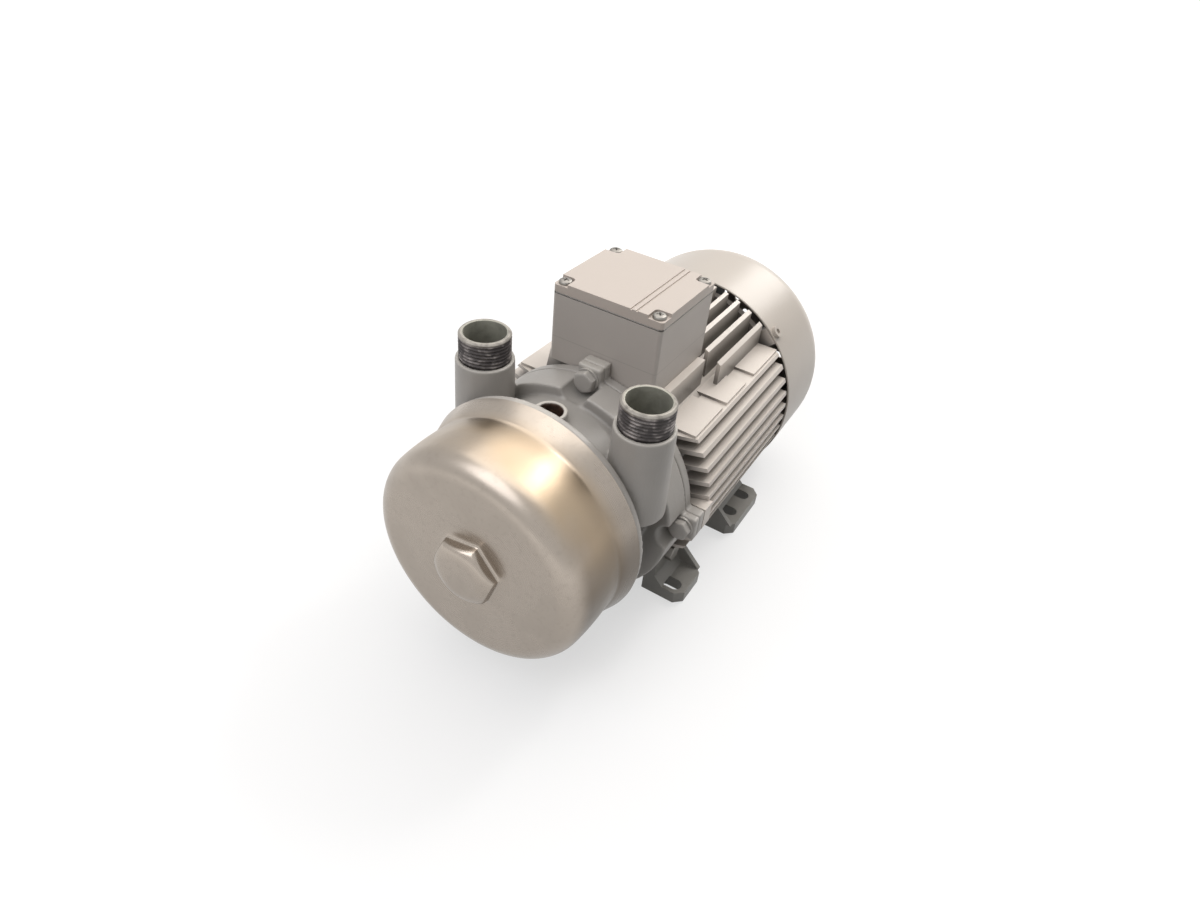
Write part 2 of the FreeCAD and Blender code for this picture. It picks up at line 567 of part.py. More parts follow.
def pot_seal_and_screws():
    """The pot's O-ring and the countersunk screws of the port plate."""
    seal = body("pot_o_ring", "shaft_height + eccentricity")
    middle = f"({PORT_FACE} + o_ring_station)"
    wire = "(o_ring_wire / 2 - o_ring_squeeze)"
    centre = f"({POT_BORE} - o_ring_wire / 2)"
    corners = []
    for step in range(8):
        angle = f"({45 * step} + 22.5) * 1deg"
        corners.append((f"{centre} + {wire} * cos({angle})", f"{middle} + {wire} * sin({angle})"))
    revolve(seal, [corners])
    screws = body("port_plate_screws", "shaft_height + eccentricity")
    shanks = [circle(x, z, "plate_screw_radius") for x, z in plate_screw_spots()]
    prism(screws, "Y", shanks, PLATE_FRONT, f"{PORT_FACE} + plate_screw_length - 1")


def impeller():
    """Hub with curved blades whose front corners are rounded to clear the pot's corner."""
    wheel = body("impeller")
    seat = "shaft_tip_radius + seat_gap"
    revolve(wheel, [[
        (seat, IMPELLER_REAR), ("impeller_hub", IMPELLER_REAR), ("impeller_hub - 1", IMPELLER_FRONT),
        ("impeller_recess_radius", IMPELLER_FRONT), ("impeller_recess_radius", SHAFT_TIP), (seat, SHAFT_TIP),
    ]])
    root = "(impeller_hub - 2)"
    outer = "(blade_sweep_radius + blade_thickness / 2)"
    inner = "(blade_sweep_radius - blade_thickness / 2)"
    across = "sin(blade_sweep * 1deg)"
    along = "cos(blade_sweep * 1deg)"
    blade = prism(wheel, "Y", [[
        (root, "-blade_thickness / 2", outer, -1),
        (f"{root} + {outer} * {across}", f"blade_sweep_radius - {outer} * {along}"),
        (f"{root} + {inner} * {across}", f"blade_sweep_radius - {inner} * {along}", inner, 1),
        (root, "blade_thickness / 2"),
    ]], IMPELLER_FRONT, IMPELLER_REAR)
    polar(wheel, blade, "blade_count")
    corner = "(pot_corner - pot_wall - impeller_front_gap)"
    groove(wheel, [[
        (f"{IMPELLER_TIP} - {corner}", IMPELLER_FRONT, corner, -1),
        (IMPELLER_TIP, f"{IMPELLER_FRONT} + {corner}"), (IMPELLER_TIP, f"{IMPELLER_REAR} + 1"),
        (f"{IMPELLER_TIP} + 12", f"{IMPELLER_REAR} + 1"), (f"{IMPELLER_TIP} + 12", f"{IMPELLER_FRONT} - 1"),
        (f"{IMPELLER_TIP} - {corner}", f"{IMPELLER_FRONT} - 1"),
    ]])
    key_top = "shaft_tip_radius - key_shaft_depth + key_height + seat_gap"
    slot = box_loop("-key_width / 2 - seat_gap", "0", "key_width / 2 + seat_gap", key_top)
    prism(wheel, "Y", [slot], SHAFT_TIP, IMPELLER_REAR, "Pocket")


def impeller_fastening():
    """Key, washer and socket head screw that hold the impeller on the shaft."""
    key = body("impeller_key")
    base = "shaft_tip_radius - key_shaft_depth"
    section = box_loop("-key_width / 2", base, "key_width / 2", f"{base} + key_height")
    prism(key, "Y", [section], KEY_FRONT, KEY_REAR)
    washer_front = f"({SHAFT_TIP} - impeller_washer_thickness)"
    washer = body("impeller_washer")
    rings = [circle("0", "0", "impeller_washer_radius"), circle("0", "0", "impeller_screw_radius + 0.3")]
    prism(washer, "Y", rings, washer_front, SHAFT_TIP)
    screw = body("impeller_screw")
    head_front = f"({washer_front} - impeller_screw_head_height)"
    revolve(screw, [[
        ("0", head_front), ("impeller_screw_head", head_front), ("impeller_screw_head", washer_front),
        ("impeller_screw_radius", washer_front),
        ("impeller_screw_radius", f"{washer_front} + impeller_screw_length"),
        ("0", f"{washer_front} + impeller_screw_length"),
    ]])
    prism(screw, "Y", [hexagon("0", "0", "socket_flats")], head_front, f"{head_front} + 4", "Pocket")


def shaft():
    """The motor shaft, stepped for the impeller, seal, bearings, core and fan."""
    line = body("shaft")
    tip = f"({SHAFT_TIP} + shaft_end_gap)"
    core_rear = f"({STATOR_REAR} + end_ring_length + 1)"
    steps = [
        ("shaft_tip_radius", IMPELLER_REAR),
        ("shaft_seal_radius", f"{SHIELD_FRONT} - housing_recess_depth + 2"),
        ("bearing_bore", f"{DRIVE_BEARING} + bearing_width"),
        ("shaft_collar_radius", f"{DRIVE_BEARING} + bearing_width + collar_length"),
        ("shaft_core_radius", core_rear), ("shaft_collar_radius", FAN_BEARING),
        ("bearing_bore", FAN_HUB_REAR),
    ]
    outline = [("0", tip), ("shaft_tip_radius - shaft_chamfer", tip),
               ("shaft_tip_radius", f"{tip} + shaft_chamfer")]
    for index, (radius, end) in enumerate(steps):
        following = steps[index + 1][0] if index + 1 < len(steps) else "shaft_fan_radius"
        outline += [(radius, end), (following, end)]
    outline += [
        ("shaft_fan_radius", "shaft_fan_end - shaft_chamfer"),
        ("shaft_fan_radius - shaft_chamfer", "shaft_fan_end"),
        ("0", "shaft_fan_end"),
    ]
    revolve(line, [outline])
    floor = "shaft_tip_radius - key_shaft_depth"
    slot = box_loop("-key_width / 2", floor, "key_width / 2", "shaft_tip_radius + 1")
    prism(line, "Y", [slot], KEY_FRONT, KEY_REAR, "Pocket")
    prism(line, "Y", [circle("0", "0", "impeller_screw_radius + seat_gap")],
          tip, f"{SHAFT_TIP} + impeller_screw_length", "Pocket")
    clip = "(fan_front + fan_hub_length + seat_gap)"
    clip_end = f"{clip} + circlip_thickness"
    groove(line, [box_loop("shaft_fan_radius - 1", clip, "shaft_fan_radius + 1", clip_end)])


def shaft_seal():
    """Mechanical seal: seat in the housing, rotating head and its coil spring."""
    seat_outer = "seal_ring_outer - seat_gap"
    ring("seal_seat", "seal_ring_inner", seat_outer, SEAL_WALL, f"{SEAL_WALL} + seal_seat_length - 1.5")
    cup = body("seal_seat_cup")
    cup_end = f"({SEAL_WALL} + seal_seat_length)"
    revolve(cup, [[
        ("seal_ring_outer", SEAL_WALL), ("seal_seat_bore - seat_gap", SEAL_WALL),
        ("seal_seat_bore - seat_gap", f"{cup_end} - seat_gap"),
        ("seal_ring_inner + 0.5", f"{cup_end} - seat_gap"),
        ("seal_ring_inner + 0.5", f"{cup_end} - 1.5"), ("seal_ring_outer", f"{cup_end} - 1.5"),
    ]])
    head = body("seal_head")
    face = f"({SEAL_WALL} - seal_film)"
    back = f"({face} - seal_head_length)"
    bore = "shaft_seal_radius + seat_gap"
    revolve(head, [[
        (bore, back), ("seal_head_radius", back), ("seal_head_radius", f"{face} - 3"),
        ("seal_ring_outer - 1", f"{face} - 3"), ("seal_ring_outer - 1", face),
        ("seal_ring_inner + 1", face), ("seal_ring_inner + 1", f"{face} - 3"), (bore, f"{face} - 3"),
    ]])
    spring = body("seal_spring")
    start = f"({PLATE_FRONT} + port_plate_thickness + 1)"
    section = circle("seal_spring_radius", f"{start} + seal_spring_wire", "seal_spring_wire")
    wire = sketch_on(spring, "XY_Plane", [section])
    coil = spring.newObject("PartDesign::AdditiveHelix", "seal_spring_coil")
    coil.Profile = wire
    coil.ReferenceAxis = (wire, ["V_Axis"])
    coil.Mode = 2
    bind(coil, "Height", f"{back} - {start} - 2 * seal_spring_wire")
    bind(coil, "Turns", "seal_spring_turns")
    slinger = body("slinger_ring")
    middle = f"({SHIELD_FRONT} - slinger_station / 2)"
    low, high = f"{middle} - slinger_width / 2", f"{middle} + slinger_width / 2"
    revolve(slinger, [[
        ("bearing_bore + seat_gap", low), ("slinger_radius - 3", low), ("slinger_radius", high),
        ("slinger_radius - 1.5", high), ("bearing_bore + 3", middle), ("bearing_bore + 3", high),
        ("bearing_bore + seat_gap", high),
    ]])


def bearing(prefix, front):
    """A deep groove ball bearing: outer ring, inner ring, balls and cage."""
    middle = f"({front} + bearing_width / 2)"
    end = f"({front} + bearing_width)"
    track = "(ball_radius + ball_clearance)"
    half = f"sqrt({track} ^ 2 - ((bearing_outer - bearing_bore) / 2 - bearing_land) ^ 2)"
    land = "(bearing_outer - bearing_land)"
    outer = body(f"{prefix}_bearing_outer_ring")
    revolve(outer, [[
        ("bearing_outer", front), ("bearing_outer", end), (land, end),
        (land, f"{middle} + {half}", track, 1), (land, f"{middle} - {half}"), (land, front),
    ]])
    land = "(bearing_bore + bearing_land)"
    inner = body(f"{prefix}_bearing_inner_ring")
    bore = "bearing_bore + seat_gap"
    revolve(inner, [[
        (bore, front), (land, front), (land, f"{middle} - {half}", track, 1),
        (land, f"{middle} + {half}"), (land, end), (bore, end),
    ]])
    balls = body(f"{prefix}_bearing_balls")
    polar(balls, ball_at(balls, middle), "ball_count")
    cage = body(f"{prefix}_bearing_cage")
    low, high = f"{middle} - cage_half_width", f"{middle} + cage_half_width"
    revolve(cage, [box_loop("cage_inner", low, "cage_outer", high)])
    pocket = [circle(middle, "0", f"{track} + seat_gap")]
    seat = prism(cage, "X", pocket, "cage_inner - 2", "cage_outer + 1", "Pocket")
    polar(cage, seat, "ball_count")


def ball_at(piece, middle):
    """One ball on the pitch circle."""
    ball = piece.newObject("PartDesign::AdditiveSphere", f"{piece.Name}_ball")
    ball.AttachmentSupport = [(origin(piece, "XY_Plane"), "")]
    ball.MapMode = "FlatFace"
    bind(ball, "AttachmentOffset.Base.x", BALL_PITCH)
    bind(ball, "AttachmentOffset.Base.y", middle)
    bind(ball, "Radius", "ball_radius")
    piece.Tip = ball
    return ball


def drive_end_shield():
    """Drive end shield: lugged plate, register for the pump, spigot and bearing hub."""
    shield = body("drive_end_shield")
    lugged_flange(shield, SHIELD_FRONT, FRAME_FRONT)
    hub_end = f"({DRIVE_BEARING} + bearing_width)"
    register = "shield_register_radius - seat_gap"
    register_front = f"({SHIELD_FRONT} - shield_register_depth)"
    revolve(shield, [[
        ("shield_shaft_hole", register_front), (register, register_front),
        (register, f"{FRAME_FRONT} - 1"), ("shield_hub_radius", f"{FRAME_FRONT} - 1"),
        ("shield_hub_radius", hub_end), ("shield_shaft_hole", hub_end),
    ]])
    revolve(shield, [box_loop("frame_bore - frame_wall", f"{FRAME_FRONT} - 1", "frame_bore - seat_gap",
                              f"{FRAME_FRONT} + shield_spigot")])
    prism(shield, "Y", [circle("0", "0", "shield_shaft_hole")], register_front, DRIVE_BEARING, "Pocket")
    prism(shield, "Y", [circle("0", "0", "bearing_outer + seat_gap")], DRIVE_BEARING, hub_end, "Pocket")
    holes = [circle(x, z, "lug_bolt_radius + seat_gap") for x, z in lug_spots()]
    prism(shield, "Y", holes, SHIELD_FRONT, FRAME_FRONT, "Pocket")
    seat = f"({SHIELD_FRONT} + frame_screw_head)"
    holes = [circle(x, z, "frame_screw_radius + seat_gap") for x, z in frame_screw_spots()]
    prism(shield, "Y", holes, SHIELD_FRONT, FRAME_FRONT, "Pocket")
    bores = [circle(x, z, "frame_screw_head + 6 * seat_gap") for x, z in frame_screw_spots()]
    prism(shield, "Y", bores, SHIELD_FRONT, seat, "Pocket")


def frame_screw_spots(turn="0"):
    """Four screw centres above and below the level lugs, on a circle about the shaft."""
    spots = []
    for half, sign in (("0", "+"), ("180", "-"), ("180", "+"), ("0", "-")):
        angle = f"(({turn} + {half} {sign} frame_screw_angle) * 1deg)"
        spots.append((f"frame_screw_circle * cos{angle}", f"frame_screw_circle * sin{angle}"))
    return spots


def shield_screws():
    """The eight socket head screws of the two end shields."""
    screws = body("shield_screws")
    spots = frame_screw_spots()
    heads = [circle(x, z, "frame_screw_head") for x, z in spots]
    shanks = [circle(x, z, "frame_screw_radius") for x, z in spots]
    sockets = [hexagon(x, z, "frame_screw_socket") for x, z in spots]
    front = f"({SHIELD_FRONT} + frame_screw_head)"
    rear = f"({FRAME_REAR} + fan_shield_plate)"
    height = "frame_screw_head_height"
    for seat, top, tip in ((front, f"{front} - {height}", f"{front} + frame_screw_length"),
                           (rear, f"{rear} + {height}", f"{rear} - frame_screw_length")):
        low, high = (top, tip) if seat == front else (tip, top)
        prism(screws, "Y", shanks, low, high)
        low, high = (top, seat) if seat == front else (seat, top)
        prism(screws, "Y", heads, low, high)
        low, high = (top, f"{top} + {height} / 2") if seat == front else (f"{top} - {height} / 2", top)
        prism(screws, "Y", sockets, low, high, "Pocket")


def fan_end_shield():
    """Fan end shield: plate, spigot, bearing hub and four ears that carry the cowl."""
    shield = body("fan_end_shield", turn=(Vector(0, 1, 0), 45))
    plate_rear = f"({FRAME_REAR} + fan_shield_plate)"
    spigot_front = f"({FRAME_REAR} - shield_spigot)"
    pocket_end = f"({FAN_BEARING_END} + spring_washer_height)"
    revolve(shield, [[
        ("bearing_outer + seat_gap", "fan_shield_hub_front"),
        ("fan_shield_hub_radius", "fan_shield_hub_front"),
        ("fan_shield_hub_radius", FRAME_REAR), ("frame_bore - frame_wall", FRAME_REAR),
        ("frame_bore - frame_wall", spigot_front), ("frame_bore - seat_gap", spigot_front),
        ("frame_bore - seat_gap", FRAME_REAR), ("fan_shield_radius", FRAME_REAR),
        ("fan_shield_radius", plate_rear), ("fan_shield_hub_radius", plate_rear),
        ("fan_shield_hub_radius", FAN_HUB_REAR), ("bearing_bore + 1", FAN_HUB_REAR),
        ("bearing_bore + 1", pocket_end), ("bearing_outer + seat_gap", pocket_end),
    ]])
    ear = prism(shield, "Y", [box_loop(
        "-fan_shield_ear_width / 2", "fan_shield_radius - 3", "fan_shield_ear_width / 2",
        "cowl_radius - cowl_wall - 1")], FRAME_REAR, f"{FRAME_REAR} + fan_shield_ear_length")
    polar(shield, ear, "4")
    hole = prism(shield, "Z", [circle("0", COWL_SCREW_Y, "cowl_screw_radius + seat_gap")],
                 "cowl_radius - cowl_screw_length - 1", "cowl_radius", "Pocket")
    polar(shield, hole, "4")
    holes = [circle(x, z, "frame_screw_radius + seat_gap") for x, z in frame_screw_spots("45")]
    prism(shield, "Y", holes, FRAME_REAR, plate_rear, "Pocket")


def bearing_spring_washer():
    """Conical spring washer that preloads the fan end bearing."""
    washer = body("bearing_spring_washer")
    low = FAN_BEARING_END
    high = f"({low} + spring_washer_height)"
    revolve(washer, [[
        ("spring_washer_inner", f"{high} - spring_washer_thickness"), ("bearing_outer - 0.5", low),
        ("bearing_outer - 0.5", f"{low} + spring_washer_thickness"), ("spring_washer_inner", high),
    ]])


def both_sides(loop):
    """A loop and its mirror image across the shaft."""
    return [loop, [(f"-({x})", y) for x, y in loop]]


def motor_frame():
    """Finned frame casting with ledges, terminal box plinth, foot pads and screw bosses."""
    frame = body("motor_frame")
    wall_outer = "(frame_bore + frame_wall)"
    revolve(frame, [box_loop("frame_bore", FRAME_FRONT, wall_outer, FRAME_REAR)])
    plinth = box_loop("-plinth_half_width", "frame_bore - 25", "plinth_half_width", "plinth_top")
    prism(frame, "Y", [plinth], FRAME_FRONT, "plinth_rear")
    bosses = [circle(x, z, "frame_boss_radius") for x, z in frame_screw_spots()]
    prism(frame, "Y", bosses, FRAME_FRONT, f"{FRAME_FRONT} + frame_boss_length")
    prism(frame, "Y", bosses, f"{FRAME_REAR} - frame_boss_length", FRAME_REAR)
    frame_holes(frame)
    frame_fins(frame, wall_outer)
    lug = box_loop("frame_bore + 1", "-lug_half_width", "lug_reach", "lug_half_width")
    prism(frame, "Y", both_sides(lug), FRAME_FRONT, f"{FRAME_FRONT} + frame_lug_length")
    foot_pad = box_loop("foot_pad_inner / 2", "-foot_bolt_drop - foot_pad_depth", "foot_pad_inner",
                        "foot_upright_top")
    for start, end in FOOT_SPANS.values():
        prism(frame, "Y", both_sides(foot_pad), start, end)
    prism(frame, "Y", [circle("0", "0", "frame_bore")], FRAME_FRONT, FRAME_REAR, "Pocket")
    bolts = [circle(y, "-foot_bolt_drop", "foot_bolt_radius + seat_gap") for y in foot_bolt_stations()]
    mirrored(frame, prism(frame, "X", bolts, f"{FOOT_BOLT_TIP} - 1", "foot_pad_inner", "Pocket"))


def frame_fins(frame, wall_outer):
    """Level, upper and lower fins rooted in the wall, with ledges, trimmed to one round outline."""
    low, high = "-fin_front_reach", "fin_rear_reach"
    half = "fin_thickness / 2"
    reach = "(fin_tip_radius + 1)"
    level_fins, lower_fins, upper_fins = [], [], []
    for step in range(-5, 6):
        near, far = f"{step} * fin_pitch - {half}", f"{step} * fin_pitch + {half}"
        root = f"sqrt((frame_bore + frame_wall / 2) ^ 2 - ({step} * fin_pitch) ^ 2)"
        if abs(step) < 5:
            level_fins.append(box_loop(root, near, reach, far))
        if abs(step) < 4:
            lower_fins.append(box_loop(near, f"-{reach}", far, f"-{root}"))
        upper_fins.append(box_loop(near, root, far, reach))
    ledge = box_loop("frame_bore - 15", f"5 * fin_pitch - {half} - ledge_rise / 2", reach,
                     f"5 * fin_pitch - {half} + 1")
    mirrored(frame, prism(frame, "Y", level_fins + [ledge], low, high))
    prism(frame, "Y", lower_fins, low, high)
    prism(frame, "Y", upper_fins, "box_front + box_length + 1.5", high)
    groove(frame, [[
        (f"{wall_outer}", f"{FRAME_FRONT} - 1"), (f"{wall_outer}", "-fin_front_reach"),
        ("fin_tip_radius", "fin_nose - fin_front_reach"), ("fin_tip_radius", f"{FRAME_REAR} + 1"),
        ("fin_tip_radius + 60", f"{FRAME_REAR} + 1"), ("fin_tip_radius + 60", f"{FRAME_FRONT} - 1"),
    ]])
    tip = "sqrt(fin_tip_radius ^ 2 - (5 * fin_pitch + fin_thickness / 2) ^ 2)"
    pad = box_loop("plinth_half_width + 1", f"5 * fin_pitch - {half}", tip, f"5 * fin_pitch + {half}")
    for start, end in (("fin_nose - fin_front_reach", "ledge_one_end"), ("ledge_two_start", "ledge_two_end"),
                       ("ledge_three_start", high)):
        prism(frame, "Y", both_sides(pad), start, end)


def frame_holes(frame):
    """Screw holes at both ends, lead hole and terminal box screw holes."""
    holes = [circle(x, z, "frame_screw_radius + seat_gap") for x, z in frame_screw_spots()]
    prism(frame, "Y", holes, FRAME_FRONT, f"{FRAME_FRONT} + frame_boss_length - 2", "Pocket")
    prism(frame, "Y", holes, f"{FRAME_REAR} - frame_boss_length + 2", FRAME_REAR, "Pocket")
    prism(frame, "Z", [circle("0", LEAD_Y, "lead_hole_radius")], "frame_bore / 2", "plinth_top", "Pocket")
    screws = [circle(x, y, "box_screw_radius + seat_gap") for x, y in box_screw_spots()]
    prism(frame, "Z", screws, "plinth_top - box_screw_length", "plinth_top", "Pocket")


def foot_bolt_stations():
    """Stations along the shaft of the bolts that hold the feet on one side."""
    return ("-foot_pitch / 2", "foot_pitch / 2 - foot_bolt_shift",
            "foot_pitch_long - foot_pitch / 2 - foot_bolt_shift")


def feet():
    """Four bolted angle feet with slots across the shaft, and their six bolts."""
    slots = {"front": [FRONT_HOLE], "rear": [REAR_HOLE, FAR_HOLE]}
    outer = "(foot_pad_inner + foot_upright)"
    floor = "-shaft_height"
    top = f"({floor} + foot_thickness)"
    for end, (start, stop) in FOOT_SPANS.items():
        for hand, side in (("right", 1), ("left", -1)):
            foot = body(f"foot_{end}_{hand}", turn=None if side == 1 else (Vector(0, 0, 1), 180))
            low, high = (start, stop) if side == 1 else (f"-({stop})", f"-({start})")
            prism(foot, "Y", [[
                ("foot_pad_inner", floor), ("foot_half_width", floor), ("foot_half_width", top),
                (f"{outer} + 7", top), (outer, f"{top} + 7"), (outer, "foot_upright_top - 2"),
                ("foot_pad_inner", "foot_upright_top - 2"),
            ]], low, high)
            rib = [[(outer, top), ("foot_half_width - 2", top), (f"{outer} + 1", "-foot_bolt_drop"),
                    (outer, "-foot_bolt_drop")]]
            rib_low = low if (end == "rear") == (side == 1) else f"({high} - foot_gusset)"
            prism(foot, "Y", rib, rib_low, f"{rib_low} + foot_gusset")
            corners = [box for y, away in ((low, 1), (high, -1))
                       for box in [[("foot_half_width - foot_corner", y), ("foot_half_width + 1", y),
                                    ("foot_half_width + 1", f"{y} + {away} * (foot_corner + 1)")]]]
            prism(foot, "Z", corners, floor, top, "Pocket")
            for station in slots[end]:
                y = station if side == 1 else f"-({station})"
                prism(foot, "Z", [slot_loop("foot_span / 2", y)], floor, top, "Pocket")
            bolts = [y if side == 1 else f"-({y})" for y in foot_bolt_stations()]
            bolts = bolts[:1] if end == "front" else bolts[1:]
            holes = [circle(y, "-foot_bolt_drop", "foot_bolt_radius + lug_bolt_clearance") for y in bolts]
            prism(foot, "X", holes, "foot_pad_inner", outer, "Pocket")
    bolts = body("foot_bolts")
    spots = [(y, "-foot_bolt_drop") for y in foot_bolt_stations()]
    shanks = prism(bolts, "X", [circle(y, z, "foot_bolt_radius") for y, z in spots], FOOT_BOLT_TIP, outer)
    heads = prism(bolts, "X", [hexagon(y, z, "lug_bolt_flats") for y, z in spots], outer,
                  f"{outer} + lug_bolt_head")
    mirrored(bolts, [shanks, heads])


def slot_loop(x, y):
    """A slot across the shaft with round ends, each drawn as two quarter arcs."""
    half = "(foot_slot_length - foot_slot_width) / 2"
    end = "foot_slot_length / 2"
    radius = "foot_slot_width / 2"
    low, high = f"{y} - {radius}", f"{y} + {radius}"
    return [(f"{x} - {half}", low), (f"{x} + {half}", low, radius, -1), (f"{x} + {end}", y, radius, -1),
            (f"{x} + {half}", high), (f"{x} - {half}", high, radius, -1), (f"{x} - {end}", y, radius, -1)]


def lug_fasteners():
    """The four hexagon bolts that hold the pump to the motor, and their washers."""
    seat = f"({FLANGE_FRONT} - washer_thickness)"
    bolts = body("pump_bolts")
    prism(bolts, "Y", [circle(x, z, "lug_bolt_radius") for x, z in lug_spots()],
          seat, f"{seat} + lug_bolt_length")
    prism(bolts, "Y", [hexagon(x, z, "lug_bolt_flats") for x, z in lug_spots()],
          f"{seat} - lug_bolt_head", seat)
    washers = body("pump_bolt_washers")
    discs = [circle(x, z, "washer_radius") for x, z in lug_spots()]
    holes = [circle(x, z, "lug_bolt_radius + lug_bolt_clearance") for x, z in lug_spots()]
    prism(washers, "Y", discs + holes, seat, FLANGE_FRONT)


def drain_plug():
    """Screwed drain plug under the housing."""
    plug = body("drain_plug", "shaft_height + eccentricity")
    face = "(-housing_radius - drain_boss)"
    prism(plug, "Z", [circle("0", DRAIN_Y, "drain_radius")], face, "-housing_radius + drain_depth - 1")
    prism(plug, "Z", [circle("0", DRAIN_Y, "drain_radius + 2.5")], f"{face} - 2", face)
    prism(plug, "Z", [hexagon("0", DRAIN_Y, "lug_bolt_flats")], f"{face} - 7", f"{face} - 2")


def stator():
    """Slotted stator core and its windings with both end turns."""
    core = body("stator_core")
    revolve(core, [box_loop("stator_bore", "stator_front", "frame_bore - seat_gap", STATOR_REAR)])
    floor = "(stator_bore + slot_depth)"
    slot = prism(core, "Y", [box_loop("stator_bore - 2", "-slot_width / 2", floor, "slot_width / 2")],
                 "stator_front", STATOR_REAR, "Pocket")
    polar(core, slot, "stator_slots")
    winding = body("stator_windings")
    front = "stator_front - winding_front_length"
    rear = f"{STATOR_REAR} + winding_rear_length"
    revolve(winding, [box_loop("winding_inner", front, "winding_outer", "stator_front")])
    bar = prism(winding, "Y", [box_loop("winding_inner + 0.4", "-slot_width / 2 + seat_gap",
                                        f"{floor} - seat_gap", "slot_width / 2 - seat_gap")],
                "stator_front - 1", f"{STATOR_REAR} + 1")
    polar(winding, bar, "stator_slots")
    revolve(winding, [box_loop("winding_inner", STATOR_REAR, "winding_outer", rear)])


def rotor():
    """Laminated rotor core and its cast cage of bars, end rings and vanes."""
    core = body("rotor_core")
    tip = "(stator_bore - air_gap)"
    revolve(core, [box_loop("shaft_core_radius + seat_gap", "stator_front", tip, STATOR_REAR)])
    opening = prism(core, "Y", [box_loop("rotor_bar_inner", "-rotor_bar_width / 2", "end_ring_outer - 1",
                                         "rotor_bar_width / 2")], "stator_front", STATOR_REAR, "Pocket")
    polar(core, opening, "rotor_bars")
    cage = body("rotor_cage")
    low = "(stator_front - end_ring_length)"
    high = f"({STATOR_REAR} + end_ring_length)"
    revolve(cage, [box_loop("end_ring_inner", low, "end_ring_outer", "stator_front")])
    bar = prism(cage, "Y", [box_loop("rotor_bar_inner + seat_gap", "-rotor_bar_width / 2 + seat_gap",
                                     "end_ring_outer - 1 - seat_gap", "rotor_bar_width / 2 - seat_gap")],
                "stator_front - 1", f"{STATOR_REAR} + 1")
    polar(cage, bar, "rotor_bars")
    revolve(cage, [box_loop("end_ring_inner", STATOR_REAR, "end_ring_outer", high)])
    half = "rotor_vane_thickness / 2"
    vane = box_loop("end_ring_inner + 3", f"-{half}", "end_ring_outer - 1", half)
    polar(cage, prism(cage, "Y", [vane], f"{low} - rotor_vane_length", low), "rotor_vane_count")
    polar(cage, prism(cage, "Y", [vane], high, f"{high} + rotor_vane_length"), "rotor_vane_count")


def cooling_fan():
    """Radial fan with straight blades, and the circlip that holds it."""
    fan = body("cooling_fan")
    hub_end = "(fan_front + fan_hub_length)"
    revolve(fan, [[
        ("shaft_fan_radius + seat_gap", "fan_front"), ("fan_radius - 14", "fan_front"),
        ("fan_radius - 14", "fan_front + fan_disc"), ("fan_hub_radius", "fan_front + fan_disc"),
        ("fan_hub_radius", hub_end), ("shaft_fan_radius + seat_gap", hub_end),
    ]])
    half = "fan_blade_thickness / 2"
    blade = prism(fan, "Y", [box_loop("fan_hub_radius - 2", f"-{half}", "fan_radius", half)],
                  "fan_front", "fan_front + fan_blade_length")
    polar(fan, blade, "fan_blade_count")
    clip = body("fan_circlip")
    low = f"({hub_end} + seat_gap)"
    reach = "circlip_radius"
    prism(clip, "Y", [circle("0", "0", reach), circle("0", "0", "shaft_fan_radius - 1 + seat_gap")],
          low, f"{low} + circlip_thickness - 2 * seat_gap")
    prism(clip, "Y", [box_loop("-circlip_gap / 2", "2", "circlip_gap / 2", f"{reach} + 1")],
          low, f"{low} + circlip_thickness", "Pocket")


def fan_cowl():
    """Pressed fan cowl with a domed rear, two rings of grille slots and its radial screws."""
    cowl = body("fan_cowl", turn=(Vector(0, 1, 0), 45))
    flat = "(cowl_radius - cowl_dome_radius)"
    bend = "(cowl_rear - cowl_dome_radius)"
    revolve(cowl, [[
        ("cowl_radius", "cowl_front"), ("cowl_radius", bend, "cowl_dome_radius", -1), (flat, "cowl_rear"),
        ("0", "cowl_rear"), ("0", "cowl_rear - cowl_wall"),
        (flat, "cowl_rear - cowl_wall", "cowl_dome_radius - cowl_wall", 1),
        ("cowl_radius - cowl_wall", bend), ("cowl_radius - cowl_wall", "cowl_front"),
    ]])
    half = "grille_slot / 2"
    for inner, outer, count in (("grille_inner", "grille_middle - grille_bar / 2", "grille_slots / 2"),
                                ("grille_middle + grille_bar / 2", "grille_outer", "grille_slots")):
        slot = prism(cowl, "Y", [box_loop(inner, f"-{half}", outer, half)],
                     "cowl_rear - 2 * cowl_wall", "cowl_rear + 1", "Pocket")
        polar(cowl, slot, count)
    hole = prism(cowl, "Z", [circle("0", COWL_SCREW_Y, "cowl_screw_radius + seat_gap")],
                 "cowl_radius - 3 * cowl_wall", "cowl_radius + 1", "Pocket")
    polar(cowl, hole, "4")
    screws = body("cowl_screws", turn=(Vector(0, 1, 0), 45))
    shank = prism(screws, "Z", [circle("0", COWL_SCREW_Y, "cowl_screw_radius")],
                  "cowl_radius - cowl_screw_length", "cowl_radius + 1")
    head = prism(screws, "Z", [circle("0", COWL_SCREW_Y, "cowl_screw_head")],
                 "cowl_radius", "cowl_radius + cowl_screw_head_height")
    top = "cowl_radius + cowl_screw_head_height"
    drive = prism(screws, "Z", [hexagon("0", COWL_SCREW_Y, "frame_screw_socket")],
                  f"{top} - 1.5", top, "Pocket")
    polar(screws, [shank, head, drive], "4")


